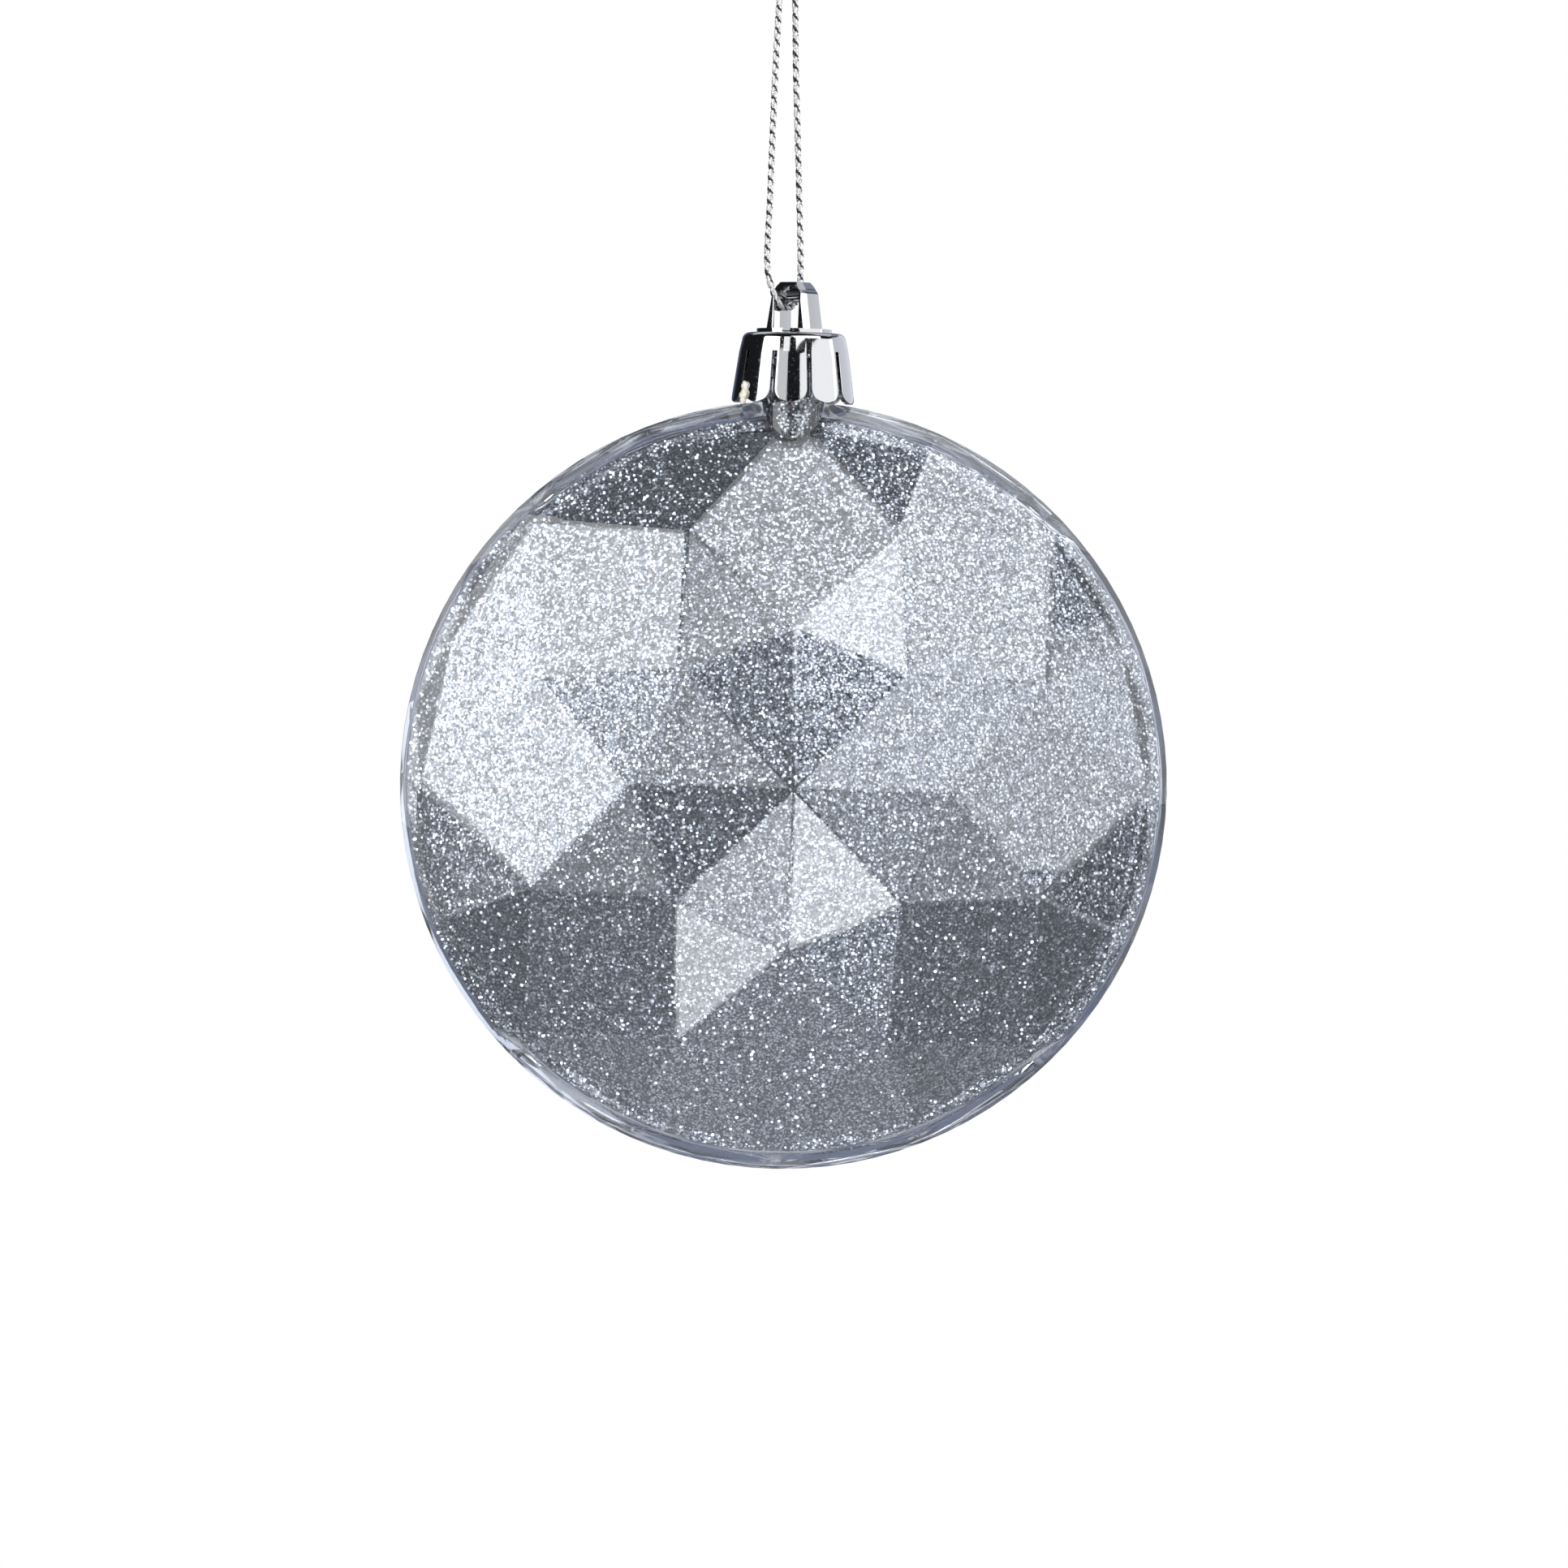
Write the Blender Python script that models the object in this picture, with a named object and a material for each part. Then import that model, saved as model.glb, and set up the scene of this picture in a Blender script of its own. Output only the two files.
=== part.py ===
"""A hanging ornament: a flat, faceted ball of clear plastic with silver glitter inside, a slotted
chromed cap with a turning eye, and a loop of metallic cord tied in a knot.

Metres, +Z up. The origin is the hanging point, between the two strands just under the knot, and
everything hangs below it. The ball's broad faces look along -Y and +Y.
"""

import math

import bmesh
import bpy
from mathutils import Matrix, Vector

MM = 0.001

# What meshes leave free between two pieces that touch in the real object.
TOUCH_GAP = 0.3 * MM

# Cord and knot
CORD_DIAMETER = 0.85 * MM
CORD_DROP = 45.4 * MM  # from the hanging point down to the middle of the eye's bar
CORD_OFFSET = 1.4 * MM  # how far along the bar the cord lies from the bar's middle
CORD_STEP = 1.35 * MM
KNOT_RADIUS = 1.7 * MM
KNOT_HEIGHT = 3.6 * MM
KNOT_BOTTOM = 1.5 * MM
TAIL_LENGTH = 6.0 * MM
TAIL_LEAN = 14.0  # degrees from upright

# Eye: a flat-topped arch on a thin round flange, with a headed stem through the cap's top
EYE_TURN = 44.0  # degrees from -Y, clockwise seen from above
AXIS_X = 1.85 * MM  # the ball's axis, right of the hanging point
BAR_RADIUS = 1.7 * MM  # the rounded underside that the cord bears on
BAR_RISE = 0.9 * MM  # from the bar's middle to its flat top
BAR_CHAMFER_DEPTH = 0.3 * MM  # along the bar's two top edges
BAR_CHAMFER_HEIGHT = 0.55 * MM
WINDOW_WIDTH = 4.3 * MM
LEG_TOP = 0.35 * MM  # the legs' width at the shoulder and at the foot
LEG_FOOT = 1.1 * MM
ARCH_SHOULDER_DROP = 0.6 * MM
ARCH_TOP_INSET = 1.15 * MM  # the corners cut off at each end of the bar
ARCH_DRAFT = 0.15 * MM  # how much thicker each side of the arch is at its foot
WINDOW_HEIGHT = 3.5 * MM  # from the flange to the lowest line of the bar
FLANGE_RADIUS = 4.9 * MM
FLANGE_THICKNESS = 0.5 * MM
STEM_RADIUS = 1.6 * MM
STEM_HEAD_LIP = 0.7 * MM  # how far the head stands out past the stem
STEM_HEAD_THICKNESS = 0.6 * MM

# Cap: a flared skirt cut into spring fingers
CAP_HEIGHT = 8.8 * MM
CAP_TOP_RADIUS = 6.75 * MM  # at the shoulder, before it is rounded
CAP_BOTTOM_RADIUS = 8.05 * MM
CAP_SHOULDER = 0.75 * MM  # radius of the rounded shoulder
CAP_WALL = 0.8 * MM
CAP_ROOF = 0.9 * MM
FINGERS = 10
SLOT_WIDTH = 0.55 * MM
SLOT_TOP = 2.2 * MM  # from the cap's top down to the slots' upper ends
FINGER_CORNER = 1.8 * MM
FIRST_SLOT = 12.5  # degrees from -Y towards +X

# Neck: a tube moulded half on each shell, with two rings that the cap's fingers grip
NECK_RADIUS = 4.3 * MM
BORE_RADIUS = 2.5 * MM
NECK_DROP = 1.9 * MM  # from the underside of the cap's roof down to the neck's mouth
RING_HEIGHT = 0.9 * MM
RING_PITCH = 1.7 * MM
RINGS = 2
SKIRT_OVERLAP = 0.2 * MM  # how far the skirt reaches down past the ball's topmost point

# Ball: two clear shells with brilliant-cut faces, each lined with a coat of glitter
BALL_RADIUS = 50.0 * MM
TABLE_RING = 21.0 * MM  # radius of the eight corners round the middle pyramid
KITE_RING = 36.0 * MM  # radius of the eight corners between the kites
GIRDLE_INSET = 1.25 * MM  # from the rim in to the sixteen corners of the girdle
APEX_DEPTH = 22.0 * MM  # from the parting plane to the middle of a face
TABLE_DEPTH = 16.5 * MM
GIRDLE_DEPTH = 2.3 * MM
RIM_DEPTH = 1.5 * MM
SHELL_WALL = 1.8 * MM
INNER_GIRDLE_INSET = 3.0 * MM
LAND_WIDE = 2.3 * MM  # glue face between the shells, on the top and bottom quarters
LAND_NARROW = 0.9 * MM  # and on the two side quarters
LAND_LIP = 0.6 * MM
RIB_INSET = 1.2 * MM  # from the rim in to the locating ribs on the back shell's glue face
RIB_WIDTH = 0.7 * MM
RIB_RISE = 0.5 * MM
RIB_SPANS = ((8.0, 43.0), (137.0, 223.0), (317.0, 352.0))  # degrees from the top
COAT_THICKNESS = 0.35 * MM
RIM_SIDES = 96
TURNED_SIDES = 40

# Levels, worked down from the hanging point
BAR_Z = -CORD_DROP
FLANGE_TOP_Z = BAR_Z - BAR_RADIUS - WINDOW_HEIGHT
FLANGE_BOTTOM_Z = FLANGE_TOP_Z - FLANGE_THICKNESS
CAP_TOP_Z = FLANGE_BOTTOM_Z - TOUCH_GAP
CAP_BOTTOM_Z = CAP_TOP_Z - CAP_HEIGHT
ROOF_Z = CAP_TOP_Z - CAP_ROOF
NECK_TOP_Z = ROOF_Z - NECK_DROP
BALL_Z = CAP_BOTTOM_Z + SKIRT_OVERLAP - BALL_RADIUS

# Cord route, hand-laid: (across, height) in millimetres. Across runs through the eye, towards
# the front-left; height is from the hanging point.
CORD_ROUTE_MM = (
    (0.60, 1.2),
    (0.86, -1.2),
    (1.36, -4.4),
    (1.80, -7.6),
    (2.26, -13.0),
    (2.64, -18.4),
    (2.96, -23.8),
    (3.24, -29.2),
    (3.54, -34.6),
    (3.88, -39.0),
    (4.02, -41.6),
    (3.76, -43.7),
    (3.06, -45.4),
    (2.24, -46.60),
    (1.36, -47.41),
    (0.46, -47.80),
    (-0.46, -47.80),
    (-1.36, -47.41),
    (-2.10, -46.62),
    (-2.48, -45.5),
    (-2.66, -43.8),
    (-2.66, -41.0),
    (-2.50, -36.5),
    (-2.26, -31.0),
    (-1.92, -24.6),
    (-1.62, -18.4),
    (-1.44, -13.0),
    (-1.30, -7.6),
    (-1.04, -3.6),
    (-0.76, -0.6),
    (-0.60, 1.2),
)


# Scene and materials


def clear_scene():
    for old in list(bpy.data.objects):
        bpy.data.objects.remove(old, do_unlink=True)


def finish(name, color, roughness, metallic=0.0, transmission=0.0):
    material = bpy.data.materials.new(name)
    material.use_nodes = True
    shader = material.node_tree.nodes["Principled BSDF"]
    shader.inputs["Base Color"].default_value = (*color, 1.0)
    shader.inputs["Roughness"].default_value = roughness
    shader.inputs["Metallic"].default_value = metallic
    shader.inputs["Transmission Weight"].default_value = transmission
    return material


def pivot(name, x, z, turn=0.0):
    """An empty on a joint's axis, for the pieces that move with it."""
    empty = bpy.data.objects.new(name, None)
    empty.location = (x, 0.0, z)
    empty.rotation_euler = (0.0, 0.0, -math.radians(turn))
    bpy.context.scene.collection.objects.link(empty)
    return empty


def piece(name, mesh, material, parent):
    made = bpy.data.objects.new(name, mesh)
    made.parent = parent
    if material:
        mesh.materials.append(material)
    bpy.context.scene.collection.objects.link(made)
    return made


def helper(name, mesh, parent):
    """A shape that is only joined to a piece or cut from it."""
    made = piece(name, mesh, None, parent)
    made.hide_render = True
    made.display_type = "WIRE"
    return made


def combine(target, other, operation):
    step = target.modifiers.new(other.name, "BOOLEAN")
    step.operation = operation
    step.solver = "EXACT"
    step.object = other


# Meshes


def mesh_of(name, points, faces):
    mesh = bpy.data.meshes.new(name)
    mesh.from_pydata([tuple(p) for p in points], [], faces)
    grid = bmesh.new()
    grid.from_mesh(mesh)
    bmesh.ops.remove_doubles(grid, verts=grid.verts, dist=1e-7)
    bmesh.ops.recalc_face_normals(grid, faces=grid.faces)
    grid.to_mesh(mesh)
    grid.free()
    return mesh


def smooth(mesh, degrees):
    mesh.shade_smooth()
    mesh.set_sharp_from_angle(angle=math.radians(degrees))


def turned(name, profile, sides=TURNED_SIDES):
    """A solid of revolution about Z from a closed outline of (radius, z) points."""
    points, faces = [], []
    for step in range(sides):
        angle = 2 * math.pi * step / sides
        points += [(r * math.sin(angle), -r * math.cos(angle), z) for r, z in profile]
    count = len(profile)
    for step in range(sides):
        for row in range(count):
            here, over = step * count, (step + 1) % sides * count
            low, high = row, (row + 1) % count
            if profile[low][0] == 0.0 and profile[high][0] == 0.0:
                continue
            corners = [here + low, here + high, over + high, over + low]
            if profile[low][0] == 0.0:
                corners = corners[:3]
            elif profile[high][0] == 0.0:
                corners = [corners[0], corners[1], corners[3]]
            faces.append(corners)
    mesh = mesh_of(name, points, faces)
    smooth(mesh, 40)
    return mesh


def slab(name, outline, depth, place):
    """A flat outline, thickened by depth both ways; place turns (a, b, c) into a point."""
    count = len(outline)
    points = [place(a, b, -depth) for a, b in outline] + [place(a, b, depth) for a, b in outline]
    faces = [list(range(count)), list(range(count, 2 * count))]
    faces += [
        [row, (row + 1) % count, count + (row + 1) % count, count + row] for row in range(count)
    ]
    return mesh_of(name, points, faces)


def arc(centre, radius, start, end, steps):
    """Points on an arc, in degrees, both ends included."""
    span = [math.radians(start + (end - start) * i / steps) for i in range(steps + 1)]
    return [(centre[0] + radius * math.cos(a), centre[1] + radius * math.sin(a)) for a in span]


# The ball's faceted surfaces


class Crown:
    """One face of the ball as cut: a pyramid, eight star facets, eight kites, sixteen rim facets."""

    def __init__(self, table, kite, girdle, apex_depth, table_depth, girdle_depth):
        self.table, self.kite, self.girdle = table, kite, girdle
        self.apex_depth, self.table_depth = apex_depth, table_depth
        self.girdle_depth = girdle_depth

    def kite_slope(self):
        return (self.table_depth - self.girdle_depth) / (self.girdle - self.table)

    def kite_depth(self):
        """Depth of the corners between two kites, which keeps every kite flat."""
        reach = self.kite * math.cos(math.pi / 8) - self.table
        return self.table_depth - self.kite_slope() * reach

    def inset(self, wall, kite, girdle):
        """The same cut, a wall's thickness inside."""
        rise = (self.apex_depth - self.table_depth) / self.table
        pyramid = math.atan(rise / math.cos(math.pi / 8))
        slope = math.atan(self.kite_slope())
        apex = self.apex_depth - wall / math.cos(pyramid)
        kite_zero = self.table_depth + self.kite_slope() * self.table - wall / math.cos(slope)
        table = (kite_zero - apex) / (self.kite_slope() - rise)
        depth = kite_zero - self.kite_slope() * table
        rim = kite_zero - self.kite_slope() * girdle
        return Crown(table, kite, girdle, apex, depth, rim)


def round_point(radius, degrees, depth):
    """A point on the face that looks along -Y; degrees from the top, towards +X."""
    angle = math.radians(degrees)
    return (radius * math.sin(angle), -depth, radius * math.cos(angle))


def crown_faces(points, crown, rim):
    """Adds a crown and the strip out to the round rim, and returns the rim's point numbers."""
    first = len(points)
    points.append(round_point(0.0, 0.0, crown.apex_depth))
    points += [round_point(crown.table, 45 * k, crown.table_depth) for k in range(8)]
    points += [round_point(crown.kite, 45 * k + 22.5, crown.kite_depth()) for k in range(8)]
    points += [round_point(crown.girdle, 22.5 * k, crown.girdle_depth) for k in range(16)]
    ring = [len(points) + i for i in range(RIM_SIDES)]
    points += rim
    table, kite, girdle = first + 1, first + 9, first + 17
    faces = []
    for k in range(8):
        after, before = (k + 1) % 8, (k - 1) % 8
        faces.append([first, table + k, table + after])
        faces.append([table + k, kite + k, table + after])
        faces.append([table + k, kite + before, girdle + 2 * k, kite + k])
        faces.append([kite + k, girdle + 2 * k, girdle + 2 * k + 1])
        faces.append([kite + k, girdle + 2 * k + 1, girdle + (2 * k + 2) % 16])
    each = RIM_SIDES // 16
    for k in range(16):
        here, there = girdle + k, girdle + (k + 1) % 16
        strip = [ring[(k * each + i) % RIM_SIDES] for i in range(each + 1)]
        middle = each // 2
        faces += [[here, strip[i], strip[i + 1]] for i in range(middle)]
        faces.append([here, strip[middle], there])
        faces += [[there, strip[i], strip[i + 1]] for i in range(middle, each)]
    return ring, faces


def rim_circle(radius_at, depth):
    turns = [360.0 * i / RIM_SIDES for i in range(RIM_SIDES)]
    return [round_point(radius_at(turn), turn, depth) for turn in turns]


def bridge(one, other):
    return [
        [one[i], one[(i + 1) % len(one)], other[(i + 1) % len(one)], other[i]]
        for i in range(len(one))
    ]


def dish(name, outer, outer_radius, outer_depth, inner, inner_radius, inner_depth, side):
    """A faceted dish, open towards the other half; side is 1 for the front and -1 for the back."""
    points = []
    face_depth = TOUCH_GAP / 2
    outer_ring, faces = crown_faces(points, outer, rim_circle(outer_radius, outer_depth))
    inner_ring, inner_faces = crown_faces(points, inner, rim_circle(inner_radius, inner_depth))
    edges = []
    for radius_at in (outer_radius, inner_radius):
        edges.append([len(points) + i for i in range(RIM_SIDES)])
        points += rim_circle(radius_at, face_depth)
    faces += inner_faces
    faces += bridge(outer_ring, edges[0])
    faces += bridge(edges[0], edges[1])
    faces += bridge(edges[1], inner_ring)
    return mesh_of(name, [(x, side * y, z) for x, y, z in points], faces)


def plug(name, crown, radius_at, depth, side):
    """The hollow of a shell as a solid, reaching past the parting plane."""
    points = []
    ring, faces = crown_faces(points, crown, rim_circle(radius_at, depth))
    back = [len(points) + i for i in range(RIM_SIDES)]
    points += rim_circle(radius_at, -TOUCH_GAP)
    faces += bridge(ring, back)
    faces.append(back)
    return mesh_of(name, [(x, side * y, z) for x, y, z in points], faces)


def ball_crown():
    girdle = BALL_RADIUS - GIRDLE_INSET
    return Crown(TABLE_RING, KITE_RING, girdle, APEX_DEPTH, TABLE_DEPTH, GIRDLE_DEPTH)


def hollow_radius(turn):
    """Radius of the hollow at the parting plane: wide glue land above and below, narrow beside."""
    from_upright = abs((turn + 90) % 180 - 90)
    blend = min(1.0, max(0.0, (from_upright - 44.0) / 4.0))
    return BALL_RADIUS - LAND_WIDE + blend * (LAND_WIDE - LAND_NARROW)


def hollow_crown(wall, margin):
    kite = KITE_RING - wall * math.sin(math.radians(27))
    return ball_crown().inset(wall, kite, BALL_RADIUS - INNER_GIRDLE_INSET - margin)


# Pieces of the ball


def neck_profile():
    """(radius, z) outline of the neck, from inside the ball up to its mouth, with its rings."""
    level = NECK_TOP_Z - BALL_Z
    outline = [(0.0, BALL_RADIUS - 8 * MM), (NECK_RADIUS, BALL_RADIUS - 8 * MM)]
    for ring in range(RINGS):
        z = level - RING_PITCH * (RINGS - ring) + RING_PITCH - RING_HEIGHT - 0.2 * MM
        radius = cap_inner_radius(z + RING_HEIGHT) - TOUCH_GAP
        outline += [(NECK_RADIUS, z - 0.2 * MM), (radius, z)]
        outline += [(radius, z + RING_HEIGHT), (NECK_RADIUS, z + RING_HEIGHT + 0.2 * MM)]
    outline[-1] = (outline[-2][0] - 0.2 * MM, level)
    return outline + [(0.0, level)]


def rib_sector(name, clearance, span):
    """A rib of the seam, or, with a clearance, the groove that takes it."""
    middle, half = BALL_RADIUS - RIB_INSET, RIB_WIDTH / 2 + clearance
    near, far = middle - half, middle + half
    start, end = span[0] - math.degrees(clearance / near), span[1] + math.degrees(clearance / near)
    steps = max(4, round((end - start) / 4))
    turns = [start + (end - start) * i / steps for i in range(steps + 1)]
    reach = -RIB_RISE - clearance
    outline = [(far, turn) for turn in turns] + [(near, turn) for turn in reversed(turns)]
    count = len(outline)
    points = [round_point(radius, turn, -depth) for depth in (reach, MM) for radius, turn in outline]
    faces = [list(range(count)), list(range(count, 2 * count))]
    faces += [
        [row, (row + 1) % count, count + (row + 1) % count, count + row] for row in range(count)
    ]
    return mesh_of(name, points, faces)


def build_shell(name, side, material, parent):
    """A clear half of the ball with its half of the neck."""
    hollow = hollow_crown(SHELL_WALL, 0.0)
    half = plug(name + "_outside", ball_crown(), lambda turn: BALL_RADIUS, RIM_DEPTH, side)
    shell = piece(name, half, material, parent)
    neck = helper(name + "_neck", turned(name + "_neck", neck_profile()), parent)
    combine(shell, neck, "UNION")
    inside = plug(name + "_hollow", hollow, hollow_radius, LAND_LIP, side)
    combine(shell, helper(name + "_hollow", inside, parent), "DIFFERENCE")
    level = NECK_TOP_Z - BALL_Z
    bore = [(0.0, 0.0), (BORE_RADIUS, 0.0), (BORE_RADIUS, level + MM), (0.0, level + MM)]
    bore = [(r, z + (BALL_RADIUS - 5 * MM if z == 0.0 else 0.0)) for r, z in bore]
    combine(shell, helper(name + "_bore", turned(name + "_bore", bore), parent), "DIFFERENCE")
    wide, deep = 2 * BALL_RADIUS, BALL_RADIUS
    corners = [(-wide, -wide), (wide, -wide), (wide, wide), (-wide, wide)]
    middle = side * (deep - TOUCH_GAP / 2)
    away = slab(name + "_away", corners, deep, lambda a, b, c: (a, middle + c, b))
    combine(shell, helper(name + "_away", away, parent), "DIFFERENCE")
    for index, span in enumerate(RIB_SPANS):
        rib = rib_sector(f"{name}_rib_{index}", TOUCH_GAP if side > 0 else 0.0, span)
        operation = "DIFFERENCE" if side > 0 else "UNION"
        combine(shell, helper(rib.name, rib, parent), operation)
    return shell


def build_coat(name, side, material, parent):
    """The glitter coat inside one shell."""
    outer = hollow_crown(SHELL_WALL + TOUCH_GAP, TOUCH_GAP)
    inner = hollow_crown(SHELL_WALL + TOUCH_GAP + COAT_THICKNESS, TOUCH_GAP + COAT_THICKNESS)
    mesh = dish(
        name,
        outer,
        lambda turn: hollow_radius(turn) - TOUCH_GAP,
        LAND_LIP - 0.1 * MM,
        inner,
        lambda turn: hollow_radius(turn) - TOUCH_GAP - 2 * COAT_THICKNESS,
        LAND_LIP - 0.3 * MM,
        side,
    )
    return piece(name, mesh, material, parent)


# Cap and eye


def cap_outer_radius(z):
    """The skirt's outside at a height above the ball's middle."""
    share = (z - (CAP_BOTTOM_Z - BALL_Z)) / CAP_HEIGHT
    return CAP_BOTTOM_RADIUS + share * (CAP_TOP_RADIUS - CAP_BOTTOM_RADIUS)


def cap_inner_radius(z):
    return cap_outer_radius(z) - CAP_WALL


def build_cap(material, parent):
    """The chromed cap, with its roof at the parent's height."""
    hole = STEM_RADIUS + TOUCH_GAP
    shoulder = arc((CAP_TOP_RADIUS - CAP_SHOULDER, -CAP_SHOULDER), CAP_SHOULDER, 90, 8, 5)
    outline = [(hole, 0.0), *shoulder, (CAP_BOTTOM_RADIUS, -CAP_HEIGHT)]
    outline.append((CAP_BOTTOM_RADIUS - CAP_WALL, -CAP_HEIGHT))
    inner_top = cap_inner_radius(CAP_TOP_Z - BALL_Z - CAP_ROOF - 0.3 * MM)
    outline += [(inner_top, -CAP_ROOF - 0.3 * MM), (inner_top - 0.3 * MM, -CAP_ROOF)]
    outline.append((hole, -CAP_ROOF))
    cap = piece("cap", turned("cap", outline, sides=60), material, parent)
    combine(cap, helper("cap_slots", slot_cutters(), parent), "DIFFERENCE")
    return cap


def slot_cutters():
    """Ten slots that widen at the bottom, round the corners of the fingers."""
    half, bottom = SLOT_WIDTH / 2, -CAP_HEIGHT
    corner = arc((half + FINGER_CORNER, bottom + FINGER_CORNER), FINGER_CORNER, 180, 270, 4)
    side = [(half, -SLOT_TOP), *corner, (half + FINGER_CORNER, bottom - MM)]
    outline = side + [(-a, b) for a, b in reversed(side)]
    middle = (CAP_TOP_RADIUS + CAP_BOTTOM_RADIUS) / 2
    grid = bmesh.new()
    for finger in range(FINGERS):
        one = slab("slot", outline, 2.2 * MM, lambda a, b, c: (a, -middle + c, b))
        turn = math.radians(FIRST_SLOT + 360 / FINGERS * finger)
        one.transform(Matrix.Rotation(turn, 4, "Z"))
        grid.from_mesh(one)
        bpy.data.meshes.remove(one)
    mesh = bpy.data.meshes.new("cap_slots")
    grid.to_mesh(mesh)
    grid.free()
    return mesh


def build_eye(material, parent):
    """The eye, with the bar's middle at the parent; -Y there is the way the cord goes through."""
    floor = FLANGE_TOP_Z - BAR_Z
    foot_half = WINDOW_WIDTH / 2 + LEG_FOOT
    shoulder_half = WINDOW_WIDTH / 2 + LEG_TOP
    outline = [
        (foot_half, floor - FLANGE_THICKNESS / 2),
        (shoulder_half, -ARCH_SHOULDER_DROP),
        (shoulder_half - ARCH_TOP_INSET, BAR_RISE),
    ]
    outline += [(-a, b) for a, b in reversed(outline)]
    foot_depth = BAR_RADIUS + ARCH_DRAFT
    arch = slab("hanger_eye", outline, foot_depth, lambda a, b, c: (a, c, b))
    eye = piece("hanger_eye", arch, material, parent)
    side = [
        (foot_depth, floor - FLANGE_THICKNESS),
        (foot_depth, floor),
        (BAR_RADIUS, -ARCH_SHOULDER_DROP),
        (BAR_RADIUS, BAR_RISE - BAR_CHAMFER_HEIGHT),
        (BAR_RADIUS - BAR_CHAMFER_DEPTH, BAR_RISE),
    ]
    side += [(-a, b) for a, b in reversed(side)]
    draft = slab("eye_draft", side, foot_half, lambda a, b, c: (c, a, b))
    combine(eye, helper("eye_draft", draft, parent), "INTERSECT")
    combine(eye, helper("eye_window", window_mesh(floor), parent), "DIFFERENCE")
    head_z = ROOF_Z - TOUCH_GAP - BAR_Z
    head_radius = STEM_RADIUS + STEM_HEAD_LIP
    foot = [
        (0.0, floor),
        (FLANGE_RADIUS, floor),
        (FLANGE_RADIUS, floor - FLANGE_THICKNESS),
        (STEM_RADIUS, floor - FLANGE_THICKNESS),
        (STEM_RADIUS, head_z),
        (head_radius, head_z),
        (head_radius - 0.3 * MM, head_z - STEM_HEAD_THICKNESS),
        (0.0, head_z - STEM_HEAD_THICKNESS),
    ]
    combine(eye, helper("eye_foot", turned("eye_foot", foot), parent), "UNION")
    return eye


def window_mesh(floor):
    """The eye's window: square below, and hollowed round the bar's underside above."""
    half = WINDOW_WIDTH / 2
    deep = 2 * BAR_RADIUS
    under = [(-a, b) for a, b in arc((0.0, 0.0), BAR_RADIUS, 0, -180, 12)]
    outline = [*under, (deep, 0.0), (deep, floor), (-deep, floor), (-deep, 0.0)]
    return slab("eye_window", outline, half, lambda a, b, c: (c, a, b))


# Cord and knot


def strand_point(across, height):
    """A point of the cord: across runs through the eye, and the loop leans in to the knot."""
    turn = math.radians(EYE_TURN)
    through = Vector((-math.sin(turn), -math.cos(turn), 0.0))
    along = Vector((math.cos(turn), -math.sin(turn), 0.0))
    at_eye = Vector((AXIS_X, 0.0, 0.0)) - CORD_OFFSET * along
    share = max(0.0, min(1.0, -height / CORD_DROP))
    return share * at_eye + across * through + Vector((0.0, 0.0, height))


def smooth_route(points, step):
    """Evenly spaced points on a Catmull-Rom curve through the given ones."""
    ends = [2 * points[0] - points[1], *points, 2 * points[-1] - points[-2]]
    fine = []
    for a, b, c, d in zip(ends, ends[1:], ends[2:], ends[3:]):
        for i in range(24):
            t = i / 24
            fine.append(
                0.5
                * (
                    2 * b
                    + (c - a) * t
                    + (2 * a - 5 * b + 4 * c - d) * t**2
                    + (3 * b - a - 3 * c + d) * t**3
                )
            )
    fine.append(points[-1])
    total = sum((b - a).length for a, b in zip(fine, fine[1:]))
    count = round(total / step)
    spaced, gone, target = [fine[0]], 0.0, total / count
    for a, b in zip(fine, fine[1:]):
        length = (b - a).length
        while gone + length >= target * len(spaced) - 1e-12 and len(spaced) < count:
            spaced.append(a + (b - a) * ((target * len(spaced) - gone) / length))
        gone += length
    return [*spaced, fine[-1]]


def build_cord(material):
    route = [strand_point(a * MM, h * MM) for a, h in CORD_ROUTE_MM]
    points = smooth_route(route, CORD_STEP)
    curve = bpy.data.curves.new("cord_loop", "CURVE")
    curve.dimensions = "3D"
    curve.bevel_depth = CORD_DIAMETER / 2
    curve.bevel_resolution = 2
    curve.use_fill_caps = True
    curve.materials.append(material)
    spline = curve.splines.new("POLY")
    spline.points.add(len(points) - 1)
    for place, point in zip(spline.points, points):
        place.co = (*point, 1.0)
    cord = bpy.data.objects.new("cord_loop", curve)
    bpy.context.scene.collection.objects.link(cord)
    return cord


def build_knot(material, parent):
    """The overhand knot's outer shape with its two short tails."""
    middle, half = KNOT_BOTTOM + KNOT_HEIGHT / 2, KNOT_HEIGHT / 2
    side = [
        (KNOT_RADIUS * math.cos(math.radians(a)), middle + half * math.sin(math.radians(a)))
        for a in range(75, -76, -15)
    ]
    outline = [(0.0, middle + half), *side, (0.0, middle - half)]
    knot = piece("cord_knot", turned("cord_knot", outline, sides=20), material, parent)
    for index, lean in enumerate((-TAIL_LEAN, TAIL_LEAN)):
        radius = CORD_DIAMETER / 2
        rod = [(0.0, TAIL_LENGTH), (radius, TAIL_LENGTH), (radius, 0.0), (0.0, 0.0)]
        mesh = turned(f"tail_{index}", rod, sides=10)
        place = Matrix.Translation((0.0, 0.0, middle + 0.3 * half))
        mesh.transform(place @ Matrix.Rotation(math.radians(lean), 4, "Y"))
        combine(knot, helper(f"tail_{index}", mesh, parent), "UNION")
    return knot


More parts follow.
